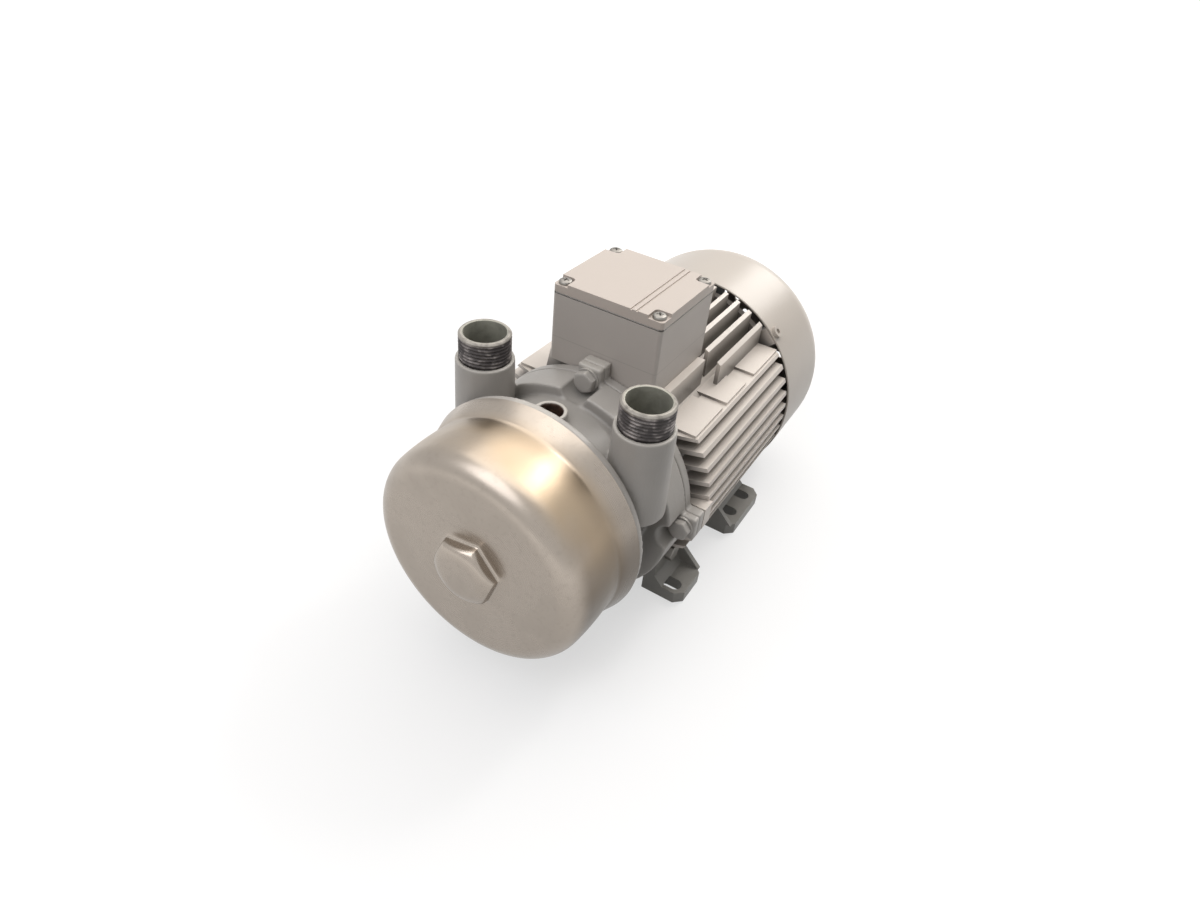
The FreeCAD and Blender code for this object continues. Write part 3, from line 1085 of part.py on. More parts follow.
def rounded_box(margin, corner):
    """The terminal box outline in plan, moved inwards by a margin."""
    x = f"(box_half_width - {margin})"
    low = f"(box_front + {margin})"
    high = f"(box_front + box_length - {margin})"
    return [(f"{corner} - {x}", low), (f"{x} - {corner}", low, corner, -1), (x, f"{low} + {corner}"),
            (x, f"{high} - {corner}", corner, -1), (f"{x} - {corner}", high),
            (f"{corner} - {x}", high, corner, -1), (f"-{x}", f"{high} - {corner}"),
            (f"-{x}", f"{low} + {corner}", corner, -1)]


def lid_screw_spots():
    """The four lid screw centres."""
    return [(f"{side} * {POST_X}", y) for side in (1, -1)
            for y in ("box_front + box_post_inset", "box_front + box_length - box_post_inset")]


def box_screw_spots():
    """The four screws from the floor of the terminal box into the frame."""
    return [(f"{side} * board_half_width", f"{BOX_MIDDLE} + {end} * (board_length / 2 + 5)")
            for side in (1, -1) for end in (1, -1)]


def terminal_box():
    """Terminal box, its gasket, its lid and the screws that hold them."""
    box = body("terminal_box")
    prism(box, "Z", [rounded_box("0", "box_corner")], BOX_BOTTOM, BOX_TOP)
    inside = rounded_box("box_wall", "box_corner / 2")
    prism(box, "Z", [inside], f"{BOX_BOTTOM} + box_wall", BOX_TOP, "Pocket")
    posts = [circle(x, y, "box_post_radius") for x, y in lid_screw_spots()]
    prism(box, "Z", posts, BOX_BOTTOM, BOX_TOP)
    holes = [circle(x, y, "lid_screw_radius + seat_gap") for x, y in lid_screw_spots()]
    prism(box, "Z", holes, f"{BOX_TOP} - lid_screw_length", BOX_TOP, "Pocket")
    floor = [circle(x, y, "box_screw_radius + seat_gap") for x, y in box_screw_spots()]
    prism(box, "Z", floor + [circle("0", LEAD_Y, "lead_hole_radius")], BOX_BOTTOM,
          f"{BOX_BOTTOM} + box_wall", "Pocket")
    entries = [circle(y, "entry_level", "entry_radius + seat_gap") for y in ("gland_station", "plug_station")]
    prism(box, "X", entries, "-box_half_width", "box_wall - box_half_width + 1", "Pocket")
    gasket = body("terminal_box_gasket")
    holes = [circle(x, y, "lid_screw_radius + 0.3") for x, y in lid_screw_spots()]
    prism(gasket, "Z", [rounded_box("0", "box_corner")] + holes, BOX_TOP, LID_BOTTOM)
    middle = box_loop(f"-({POST_X} - box_post_radius)", "box_front + box_wall",
                      f"{POST_X} - box_post_radius", "box_front + box_length - box_wall")
    prism(gasket, "Z", [middle], BOX_TOP, LID_BOTTOM, "Pocket")
    lid = body("terminal_box_lid")
    prism(lid, "Z", [rounded_box("0", "box_corner")], LID_BOTTOM, LID_TOP)
    prism(lid, "Z", [middle], LID_BOTTOM, f"{LID_TOP} - lid_wall", "Pocket")
    holes = [circle(x, y, "lid_screw_radius + 0.3") for x, y in lid_screw_spots()]
    prism(lid, "Z", holes, LID_BOTTOM, LID_TOP, "Pocket")
    notches = [lid_notch("box_front", 1), lid_notch("(box_front + box_length)", -1)]
    mirrored(lid, prism(lid, "Z", notches, LID_SEAT, LID_TOP, "Pocket"))
    lines = [box_loop(f"{x} - lid_groove_width / 2", "box_front - 1", f"{x} + lid_groove_width / 2",
                      "box_front + box_length + 1") for x in ("lid_groove_one", "lid_groove_two")]
    prism(lid, "Z", lines, f"{LID_TOP} - lid_groove_depth", LID_TOP, "Pocket")
    length = "lid_thickness - lid_notch + lid_screw_length"
    top_screws("lid_screws", lid_screw_spots(), LID_SEAT,
               ("lid_screw_radius", length, "lid_screw_head", "lid_screw_head_height"))
    top_screws("box_screws", box_screw_spots(), f"({BOX_BOTTOM} + box_wall)",
               ("box_screw_radius", "box_screw_length", "box_screw_head", "box_screw_head_height"))


def lid_notch(edge, inwards):
    """The outline of a lowered corner of the lid, at the front (1) or the rear (-1)."""
    x = f"({POST_X} - box_post_radius)"
    depth = "(box_post_inset + box_post_radius)"
    return [
        ("box_half_width + 1", f"{edge} - {inwards}"), (x, f"{edge} - {inwards}"),
        (x, f"{edge} + {inwards} * ({depth} - lid_notch_corner)", "lid_notch_corner", inwards),
        (f"{x} + lid_notch_corner", f"{edge} + {inwards} * {depth}"),
        ("box_half_width + 1", f"{edge} + {inwards} * {depth}"),
    ]


def top_screws(name, spots, seat, sizes):
    """Upright pan head screws with a cross slot."""
    radius, length, head, height = sizes
    screws = body(name)
    prism(screws, "Z", [circle(x, y, radius) for x, y in spots], f"{seat} - ({length})", seat)
    prism(screws, "Z", [circle(x, y, head) for x, y in spots], seat, f"{seat} + {height}")
    half = "cross_slot / 2"
    for wide, deep in ((f"{head} * 0.6", half), (half, f"{head} * 0.6")):
        slots = [box_loop(f"{x} - {wide}", f"{y} - {deep}", f"{x} + {wide}", f"{y} + {deep}")
                 for x, y in spots]
        prism(screws, "Z", slots, f"{seat} + {height} / 2", f"{seat} + {height}", "Pocket")


def terminal_parts():
    """Terminal board with six studs, their nuts and the three links."""
    base = f"({BOX_BOTTOM} + box_wall)"
    top = f"({base} + board_thickness)"
    low, high = f"({BOX_MIDDLE} - board_length / 2)", f"({BOX_MIDDLE} + board_length / 2)"
    board = body("terminal_board")
    prism(board, "Z", [box_loop("4 - board_half_width", low, "board_half_width - 4", high)], base, top)
    prism(board, "Z", [box_loop("2 - board_half_width", f"{low} + 6", "board_half_width - 2", f"{high} - 6")],
          base, f"{base} + board_thickness / 2", "Pocket")
    spots = [(f"{column} * stud_pitch", f"{BOX_MIDDLE} + {row} * stud_row_pitch / 2")
             for column in (-1, 0, 1) for row in (-1, 1)]
    holes = [circle(x, y, "stud_radius + seat_gap") for x, y in spots]
    prism(board, "Z", holes, base, top, "Pocket")
    studs = body("terminal_studs")
    prism(studs, "Z", [circle(x, y, "stud_radius") for x, y in spots],
          f"{top} - board_thickness / 2", f"{top} + stud_height")
    links = body("terminal_links")
    link_top = f"({top} + link_thickness)"
    half, reach = "link_width / 2", "(stud_row_pitch / 2 + link_width / 2)"
    bars = [box_loop(f"{column} * stud_pitch - {half}", f"{BOX_MIDDLE} - {reach}",
                     f"{column} * stud_pitch + {half}", f"{BOX_MIDDLE} + {reach}")
            for column in (-1, 0, 1)]
    prism(links, "Z", bars + holes, top, link_top)
    nuts = body("terminal_nuts")
    outlines = [hexagon(x, y, "nut_flats") for x, y in spots]
    prism(nuts, "Z", outlines + holes, link_top, f"{link_top} + nut_height")


def cable_entries():
    """Cable gland with its cap, blanking plug and the two locknuts inside the box."""
    wall = "(0 - box_half_width)"
    inside = f"({wall} + box_wall)"
    gland = body("cable_gland")
    hollow = [circle("gland_station", "entry_level", "gland_cable_hole")]
    thread = circle("gland_station", "entry_level", "entry_radius")
    prism(gland, "X", [thread] + hollow, wall, f"{wall} + gland_thread_length")
    prism(gland, "X", [hexagon("gland_station", "entry_level", "gland_hex_flats", "30")] + hollow,
          f"{wall} - gland_hex_height", wall)
    neck = circle("gland_station", "entry_level", "gland_cap_radius - 2")
    hexagon_end = f"{wall} - gland_hex_height"
    prism(gland, "X", [neck] + hollow, f"{hexagon_end} - gland_neck", hexagon_end)
    cap = body("cable_gland_cap")
    start = f"({wall} - gland_hex_height - gland_cap_length)"
    prism(cap, "X", [circle("gland_station", "entry_level", "gland_cap_radius")] + hollow,
          start, f"{wall} - gland_hex_height - 0.5")
    prism(cap, "X", [circle("gland_station", "entry_level", "gland_cap_radius - 2 + seat_gap")],
          f"{wall} - gland_hex_height - gland_neck - 0.5", f"{wall} - gland_hex_height", "Pocket")
    plug = body("blanking_plug")
    prism(plug, "X", [circle("plug_station", "entry_level", "entry_radius")], wall,
          f"{wall} + gland_thread_length")
    prism(plug, "X", [hexagon("plug_station", "entry_level", "gland_hex_flats", "30")],
          f"{wall} - gland_hex_height", wall)
    nuts = body("entry_locknuts")
    for station in ("gland_station", "plug_station"):
        prism(nuts, "X", [hexagon(station, "entry_level", "gland_hex_flats", "30"),
                          circle(station, "entry_level", "entry_radius + seat_gap")],
              inside, f"{inside} + locknut_height")


casing_pot()
port_housing()
port_nipples()
port_plate()
pot_seal_and_screws()
impeller()
impeller_fastening()
shaft()
shaft_seal()
lug_fasteners()
drain_plug()
drive_end_shield()
bearing("drive_end", DRIVE_BEARING)
stator()
rotor()
motor_frame()
feet()
bearing("fan_end", FAN_BEARING)
bearing_spring_washer()
fan_end_shield()
shield_screws()
cooling_fan()
fan_cowl()
terminal_box()
terminal_parts()
cable_entries()

for node in nodes:
    for item in node.Group:
        if "Refine" in item.PropertiesList:
            item.Refine = item == node.Tip
doc.recompute()
for item in doc.Objects:
    if "Invalid" in item.State or "Error" in item.State:
        raise RuntimeError(f"{item.Name}: {item.getStatusString()}")
for node in nodes:
    if node.Shape.isNull() or not node.Shape.isValid() or not node.Shape.Solids:
        raise RuntimeError(f"{node.Label} has no valid solid")
os.makedirs("parts", exist_ok=True)
for node in nodes:
    node.Shape.exportStep(f"parts/{node.Label}.step")
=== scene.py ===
"""Looks of the liquid ring vacuum pump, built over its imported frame.

Sizes are in millimetres until a mesh is made. The pump's front faces -Y, and +Z is up. Stations
along the shaft count from a plane DATUM behind the foot holes' centre, forward where they are
positive in a turned piece, and along +Y where a point is given as x, y and z.
"""
from __future__ import annotations

import json
import logging
import math
from dataclasses import dataclass
from enum import Enum
from typing import Sequence

import bmesh
import bpy
from mathutils import Matrix, Vector

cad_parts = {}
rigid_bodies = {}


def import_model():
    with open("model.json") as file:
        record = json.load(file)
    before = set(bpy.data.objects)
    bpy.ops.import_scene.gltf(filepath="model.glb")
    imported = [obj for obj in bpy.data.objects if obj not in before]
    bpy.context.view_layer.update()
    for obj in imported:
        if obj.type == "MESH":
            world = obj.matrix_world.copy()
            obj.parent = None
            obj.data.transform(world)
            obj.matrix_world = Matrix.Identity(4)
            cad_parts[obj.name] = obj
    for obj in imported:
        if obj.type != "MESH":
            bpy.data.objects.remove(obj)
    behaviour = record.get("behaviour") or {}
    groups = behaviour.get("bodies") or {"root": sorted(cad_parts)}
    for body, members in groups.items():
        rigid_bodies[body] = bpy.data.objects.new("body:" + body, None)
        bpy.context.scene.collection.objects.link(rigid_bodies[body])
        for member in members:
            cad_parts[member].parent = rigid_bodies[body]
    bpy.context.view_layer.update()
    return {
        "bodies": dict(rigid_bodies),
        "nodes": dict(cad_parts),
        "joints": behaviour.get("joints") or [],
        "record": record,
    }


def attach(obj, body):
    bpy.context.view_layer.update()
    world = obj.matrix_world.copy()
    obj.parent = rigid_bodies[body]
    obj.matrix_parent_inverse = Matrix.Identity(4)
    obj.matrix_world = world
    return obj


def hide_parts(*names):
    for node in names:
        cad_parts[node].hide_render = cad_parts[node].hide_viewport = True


LOG = logging.getLogger("pump_scene")
MM = 0.001
SHAFT_LEVEL = 90.0
POT_LEVEL = 100.0
DATUM = 10.0
# Points nearer than this are one, in metres
SAME_POINT = 0.00001
# Edges that bend more than this stay sharp, in degrees
CREASE = 40.0
# Features per metre of the paint's clouds and of its orange peel
CLOUDS = 38.0
PEEL = 900.0
WHITE = (1.0, 1.0, 1.0, 1.0)

Point = tuple[float, float]
Place = tuple[float, float, float]
Colour = tuple[float, float, float]
Operand = "Socket | float"


class Socket:
    """An output socket of a material's nodes that takes part in Python expressions."""

    def __init__(self, graph: "Graph", output: bpy.types.NodeSocket) -> None:
        """Wrap one output of the graph."""
        self.graph = graph
        self.output = output

    def _maths(self, operation: str, first: Operand, second: Operand = 0.0) -> "Socket":
        """Add one Math node.

        Args:
            operation: the Math node's operation.
            first: the first operand.
            second: the second operand.

        Returns:
            The node's result.
        """
        return self.graph.node("ShaderNodeMath", {"operation": operation}, {0: first, 1: second})

    def __add__(self, other: Operand) -> "Socket":
        """Sum."""
        return self._maths("ADD", self, other)

    __radd__ = __add__

    def __mul__(self, other: Operand) -> "Socket":
        """Product."""
        return self._maths("MULTIPLY", self, other)

    __rmul__ = __mul__

    def __sub__(self, other: Operand) -> "Socket":
        """Difference."""
        return self._maths("SUBTRACT", self, other)

    def __rsub__(self, other: Operand) -> "Socket":
        """Difference with the socket on the right."""
        return self._maths("SUBTRACT", other, self)

    def power(self, exponent: float) -> "Socket":
        """The socket raised to a power."""
        return self._maths("POWER", self, exponent)

    def clamped(self) -> "Socket":
        """The socket held between 0 and 1."""
        return self.graph.node("ShaderNodeClamp", {}, {0: self})

    def between(self, low: float, high: float) -> "Socket":
        """A smooth step.

        Args:
            low: where it is 0.
            high: where it is 1.

        Returns:
            The step.
        """
        settings = {"interpolation_type": "SMOOTHSTEP"}
        values = {0: self, 1: low, 2: high, 3: 0.0, 4: 1.0}
        return self.graph.node("ShaderNodeMapRange", settings, values)

    def ramp(self, low: float, high: float) -> "Socket":
        """A smooth step between two lengths in millimetres, where the socket is in metres."""
        return self.between(low * MM, high * MM)

    def band(self, rise: Point, fall: Point) -> "Socket":
        """1 from the end of a smooth rise to the start of a smooth fall, both in millimetres."""
        return self.ramp(*rise) * (1.0 - self.ramp(*fall))

    def reach(self, other: "Socket") -> "Socket":
        """Distance from an axis of the point with these two coordinates."""
        return (self * self + other * other).power(0.5)


class Graph:
    """The node tree of one material or world."""

    def __init__(self, tree: bpy.types.NodeTree) -> None:
        """Start with an empty tree."""
        self.tree = tree
        tree.nodes.clear()

    def make(self, kind: str, settings: dict, values: dict) -> bpy.types.Node:
        """Add a node.

        Args:
            kind: the node's type name.
            settings: its own properties, set first.
            values: values or links by socket name or index.

        Returns:
            The node.
        """
        node = self.tree.nodes.new(kind)
        for name, value in settings.items():
            setattr(node, name, value)
        for key, value in values.items():
            if isinstance(value, Socket):
                self.tree.links.new(value.output, node.inputs[key])
            else:
                node.inputs[key].default_value = value
        return node

    def node(self, kind: str, settings: dict, values: dict, output: str | int = 0) -> Socket:
        """Add a node as make does, and wrap one of its outputs."""
        return Socket(self, self.make(kind, settings, values).outputs[output])

    def place(self) -> Socket:
        """The point on the object, in metres in the row frame."""
        return self.node("ShaderNodeTexCoord", {}, {}, "Object")

    def noise(self, scale: float, detail: float, distortion: float = 0.0) -> Socket:
        """Soft noise over the object.

        Args:
            scale: features per metre.
            detail: octaves.
            distortion: how much the noise swirls.

        Returns:
            The noise, about 0.5 in the middle.
        """
        values = {"Vector": self.place(), "Scale": scale, "Detail": detail, "Distortion": distortion}
        return self.node("ShaderNodeTexNoise", {}, values)

    def axis(self, name: str, where: "Socket | None" = None) -> Socket:
        """One coordinate of the point."""
        return self.node("ShaderNodeSeparateXYZ", {}, {0: where or self.place()}, name)

    def facing(self, name: str) -> Socket:
        """One coordinate of the surface's normal."""
        return self.axis(name, self.node("ShaderNodeNewGeometry", {}, {}, "Normal"))

    def mix(self, factor: Operand, first: "Socket | Colour", second: "Socket | Colour") -> Socket:
        """Mix two colours.

        Args:
            factor: 0 for the first colour, 1 for the second.
            first: the first colour.
            second: the second colour.

        Returns:
            The mixed colour.
        """
        def colour(value: "Socket | Colour") -> "Socket | tuple":
            """Add the fourth channel where a plain colour is given."""
            return value if isinstance(value, Socket) else (*value, 1.0)
        return self.node("ShaderNodeMix", {"data_type": "RGBA"},
                         {0: factor, 6: colour(first), 7: colour(second)}, 2)

    def edges(self, low: float, high: float) -> Socket:
        """How far the surface is from flat: 1 on ridges."""
        return self.node("ShaderNodeNewGeometry", {}, {}, "Pointiness").between(low, high)

    def bump(self, height: Socket, distance: float, strength: float = 1.0) -> Socket:
        """A normal from a height field."""
        values = {"Height": height, "Distance": distance, "Strength": strength}
        return self.node("ShaderNodeBump", {}, values)

    def surface(self, values: dict) -> None:
        """End in a Principled shader with these sockets."""
        shader = self.node("ShaderNodeBsdfPrincipled", {}, values)
        self.make("ShaderNodeOutputMaterial", {}, {"Surface": shader})


@dataclass(frozen=True)
class CastPaint:
    """Sprayed machine paint on a casting: orange peel, faint dust and thin edges lightened as wear and as a
    painted edge highlight.

    The peel's depth is in metres. Dark and light are shares of the paint's own colour.
    """

    name: str
    colour: Colour
    dust: Colour
    roughness: float = 0.42
    grain: float = 0.00012
    mottle: float = 1.0
    wear: float = 0.35
    dark: float = 0.82
    light: float = 1.5

    def coat(self, graph: Graph) -> Socket:
        """The paint's colour: clouds, dust on upward faces and light worn edges that also serve as a painted
        edge highlight.

        Args:
            graph: the material's graph.

        Returns:
            The colour.
        """
        cloud = graph.noise(CLOUDS, 4.0)
        upward = graph.facing("Z").between(0.2, 1.0)
        fleck = graph.noise(PEEL, 2.0).between(0.55, 0.8)
        dusty = (cloud.between(0.42, 0.72) * upward * (0.5 * self.mottle) + fleck * 0.08).clamped()
        base = graph.mix(dusty, self.colour, self.dust)
        clouded = cloud.between(0.3, 0.7) * (0.3 * self.mottle)
        shade = graph.mix(clouded, base, scaled(self.colour, self.dark))
        # Light worn edges where the paint is thin, and also a painted edge highlight on every ridge
        worn = graph.edges(0.53, 0.62) * graph.noise(120.0, 2.0).between(0.35, 0.6) * self.wear
        return graph.mix(worn, shade, scaled(self.colour, self.light))

    def make(self) -> bpy.types.Material:
        """Build the material, from the coat that the kind of paint gives.

        Returns:
            The material.
        """
        material, graph = new_material(self.name)
        peel = graph.noise(PEEL, 2.0) * 0.4 + graph.noise(260.0, 3.0)
        graph.surface({
            "Base Color": self.coat(graph),
            "Roughness": self.roughness + (graph.noise(CLOUDS, 4.0) - 0.5) * (0.14 * self.mottle),
            "Normal": graph.bump(peel, self.grain),
        })
        return material


@dataclass(frozen=True)
class PortedPaint(CastPaint):
    """Machine paint round ports, with a machined ring, a brown bore and a painted highlight on tall bosses'
    top edges.

    Radii and levels are in millimetres. Painted shade darkens the paint in the recess behind the pot,
    from the first radius from the shaft to the second.
    """

    port: Point = (0.0, 0.0)
    boss_top: float = 179.0
    bore: float = 7.75
    bore_foot: Point = (148.0, 150.0)
    ring: float = 10.0
    level: float = 169.2
    shaded_recess: Point = (65.0, 82.0)
    brown: Colour = (0.075, 0.042, 0.028)
    bright: Colour = (0.52, 0.49, 0.44)

    def coat(self, graph: Graph) -> Socket:
        """The paint, with the port's own colours where it ends, painted shade behind the pot and a painted
        highlight on the bosses' top edges.

        Args:
            graph: the material's graph.

        Returns:
            The colour.
        """
        where = graph.place()
        across = graph.axis("X", where)
        height = graph.axis("Z", where)
        along = graph.axis("Y", where) - (self.port[1] + DATUM) * MM
        radius = (across - self.port[0] * MM).reach(along)
        inside = 1.0 - radius.ramp(self.bore - 0.1, self.bore + 0.5)
        top = height.ramp(self.level, self.level + 0.5)
        ring = top * (1.0 - radius.ramp(self.ring - 0.5, self.ring + 0.7))
        # Painted highlight along the top edges of the tall bosses
        boss_edge_highlight = height.ramp(self.boss_top - 1.4, self.boss_top - 0.5)
        # Painted shade: the paint darkens towards the shaft in the recess behind the pot
        recess_shade = 1.0 - across.reach(height - SHAFT_LEVEL * MM).ramp(*self.shaded_recess)
        dull = graph.mix(recess_shade * 0.55, super().coat(graph), scaled(self.colour, 0.30))
        # The machined ring and the painted highlight on the bosses' top edges both take the bright colour
        coated = graph.mix(ring * 0.8 + boss_edge_highlight * 0.45, dull, self.bright)
        stain = graph.noise(300.0, 3.0).between(0.35, 0.65)
        rust = graph.mix(stain, self.brown, scaled(self.brown, 0.45))
        return graph.mix(inside * height.ramp(*self.bore_foot), coated, rust)


@dataclass(frozen=True)
class FinnedPaint(CastPaint):
    """Machine paint on the motor's fins, with painted shade that darkens it from the tips towards the roots.

    Root and tip are radii from the shaft, and the ledge's levels count from the shaft.
    """

    root: float = 76.5
    tip: float = 89.0
    ledge: Point = (45.0, 50.0)

    def coat(self, graph: Graph) -> Socket:
        """The paint, darkened by painted shade the deeper it lies between the fins, less on upward faces and
        least on the ledge.

        Args:
            graph: the material's graph.

        Returns:
            The colour.
        """
        where = graph.place()
        height = graph.axis("Z", where) - SHAFT_LEVEL * MM
        # Painted shade between the fins: darker towards the roots, less on upward faces and least on the
        # ledge
        depth = 1.0 - graph.axis("X", where).reach(height).ramp(self.root, self.tip)
        upward = graph.facing("Z").between(0.3, 0.9)
        fin_shade = depth * (0.90 - upward * (0.25 + height.ramp(*self.ledge) * 0.60))
        return graph.mix(fin_shade, super().coat(graph), scaled(self.colour, 0.22))


@dataclass(frozen=True)
class BoxPaint(CastPaint):
    """Machine paint on the terminal box, with the mould's faint parting line round it."""

    line: float = 182.5
    half_line: float = 0.55

    def coat(self, graph: Graph) -> Socket:
        """The paint, a little darker along the parting line.

        Args:
            graph: the material's graph.

        Returns:
            The colour.
        """
        low, high = self.line - self.half_line, self.line + self.half_line
        seam = graph.axis("Z").band((low, self.line), (self.line, high))
        return graph.mix(seam * 0.35, super().coat(graph), scaled(self.colour, 0.5))


@dataclass(frozen=True)
class DrawnSteel:
    """Deep drawn stainless steel with drawing marks round its axis, amber tinted sides and painted light and
    shade.

    Rises and falls are distances forward of the foot holes' centre, in millimetres. The side is
    tinted with painted light and shade, lighter where it faces up and left; painted shade darkens
    the waist, and painted shade and dark reflection turn the side and rim grey where they face
    away. Marks are lines per metre.
    """

    name: str
    colour: Colour
    tint: Colour
    roughness: float
    side_rise: Point = (137.0, 152.0)
    side_fall: Point = (174.0, 188.0)
    waist_rise: Point = (143.0, 149.0)
    waist_fall: Point = (150.0, 164.0)
    rim_fall: Point = (142.0, 150.0)
    marks: float = 2200.0

    def make(self) -> bpy.types.Material:
        """Build the material.

        Returns:
            The material.
        """
        material, graph = new_material(self.name)
        where = graph.place()
        ahead = 0.0 - graph.axis("Y", where)
        radius = graph.axis("X", where).reach(graph.axis("Z", where) - POT_LEVEL * MM)
        along = graph.node("ShaderNodeCombineXYZ", {}, {0: radius * self.marks, 1: ahead * self.marks})
        lines = graph.node("ShaderNodeTexNoise", {}, {"Vector": along, "Scale": 1.0, "Detail": 3.0})
        smudge = graph.noise(22.0, 4.0, distortion=0.6)
        side = ahead.band(self.side_rise, self.side_fall)
        waist = ahead.band(self.waist_rise, self.waist_fall)
        rim = 1.0 - ahead.ramp(*self.rim_fall)
        warm = side * (0.35 + graph.noise(16.0, 2.0).between(0.38, 0.60) * 0.6)
        base = graph.mix(smudge.between(0.35, 0.75) * 0.5, self.colour, scaled(self.colour, 0.80))
        fleck = graph.noise(260.0, 3.0).between(0.5, 0.8)
        dull = graph.mix(fleck * 0.35, base, scaled(self.colour, 0.72))
        # Painted light and shade: the tint is lighter on faces turned up and left, darker where turned away
        lit = (graph.facing("Z") * 0.85 - graph.facing("X") * 0.5).between(-0.55, 0.35)
        amber = graph.mix(lit, scaled(self.tint, 0.30), self.tint)
        # Painted shade and dark reflection: the side and rim turn grey where they face away from the light
        turned_away_shade = (1.0 - lit) * (side + rim).clamped() * 0.8
        grey = graph.mix(turned_away_shade, dull, scaled(self.colour, 0.26))
        tinted = graph.mix(warm, grey, amber)
        rough = self.roughness + lines * 0.05 - 0.025 + side * 0.05 + smudge.between(0.45, 0.7) * 0.07
        graph.surface({
            # Painted shade darkens the crease at the waist
            "Base Color": graph.mix(waist * 0.28, tinted, scaled(self.tint, 0.45)),
            "Metallic": 1.0, "Roughness": rough,
            "Normal": graph.bump(lines * 0.02 + graph.noise(45.0, 2.0) * 2.0, 0.00006, 0.7),
        })
        return material


@dataclass(frozen=True)
class BareMetal:
    """Plain metal of fasteners, shafts and rings, a little stained."""

    name: str
    colour: Colour
    roughness: float = 0.32
    stain: Colour = (0.16, 0.13, 0.10)
    stained: float = 0.25

    def make(self) -> bpy.types.Material:
        """Build the material.

        Returns:
            The material.
        """
        material, graph = new_material(self.name)
        cloud = graph.noise(170.0, 4.0)
        colour = graph.mix(cloud.between(0.5, 0.75) * self.stained, self.colour, self.stain)
        graph.surface({
            "Base Color": colour, "Metallic": 1.0, "Roughness": self.roughness + cloud * 0.2 - 0.1,
            "Normal": graph.bump(graph.noise(1500.0, 2.0), 0.00002),
        })
        return material


@dataclass(frozen=True)
class ThreadSteel:
    """Dark oiled pipe thread: patches of worn crests above brown black roots, a light rim and bore.

    Offset and station place the nipples' axes. Wall is where the bore's colour ends, as a radius,
    and mouth is where the rim's colour rises, as depths below the top.
    """

    name: str
    crest: Colour
    root: Colour
    rim: Colour
    bore: Colour
    crest_radius: float
    offset: float
    station: float
    top: float
    wall: Point = (13.9, 14.5)
    mouth: Point = (2.6, 1.3)

    def make(self) -> bpy.types.Material:
        """Build the material.

        Returns:
            The material.
        """
        material, graph = new_material(self.name)
        where = graph.place()
        across = graph.node("ShaderNodeMath", {"operation": "ABSOLUTE"}, {0: graph.axis("X", where)})
        along = graph.axis("Y", where) - (self.station + DATUM) * MM
        radius = (across - self.offset * MM).reach(along)
        crest = radius.ramp(self.crest_radius - 0.7, self.crest_radius + 0.1)
        patch = graph.noise(120.0, 4.0, distortion=0.5)
        inside = 1.0 - radius.ramp(*self.wall)
        mouth = graph.axis("Z", where).ramp(self.top - self.mouth[0], self.top - self.mouth[1])
        bright = ((crest * 0.75 + 0.25) * patch.between(0.44, 0.66)).clamped()
        thread = graph.mix(bright, self.root, self.crest)
        lipped = graph.mix(mouth * (0.5 + patch.between(0.35, 0.6) * 0.5), thread, self.rim)
        wall = graph.mix(patch.between(0.4, 0.7) * 0.5, self.bore, scaled(self.bore, 0.6))
        graph.surface({
            "Base Color": graph.mix(inside, lipped, wall), "Metallic": 0.6,
            "Roughness": 0.50 - bright * 0.15 + patch * 0.14,
            "Normal": graph.bump(graph.noise(500.0, 3.0), 0.00012),
        })
        return material


@dataclass(frozen=True)
class Moulded:
    """Moulded plastic, rubber, varnish or carbon."""

    name: str
    colour: Colour
    roughness: float = 0.5
    metal: float = 0.0

    def make(self) -> bpy.types.Material:
        """Build the material.

        Returns:
            The material.
        """
        material, graph = new_material(self.name)
        cloud = graph.noise(90.0, 3.0)
        colour = graph.mix(cloud.between(0.35, 0.7) * 0.4, self.colour, scaled(self.colour, 0.75))
        graph.surface({
            "Base Color": colour, "Metallic": self.metal, "Roughness": self.roughness + cloud * 0.12 - 0.06,
            "Normal": graph.bump(graph.noise(1200.0, 2.0), 0.00003),
        })
        return material


def scaled(colour: Colour, share: float) -> Colour:
    """A colour times a share, no brighter than white."""
    return tuple(min(1.0, channel * share) for channel in colour)


def new_material(name: str) -> tuple[bpy.types.Material, Graph]:
    """Make a node material.

    Args:
        name: the material's name.

    Returns:
        The material and its empty graph.
    """
    material = bpy.data.materials.new(name)
    material.use_nodes = True
    return material, Graph(material.node_tree)


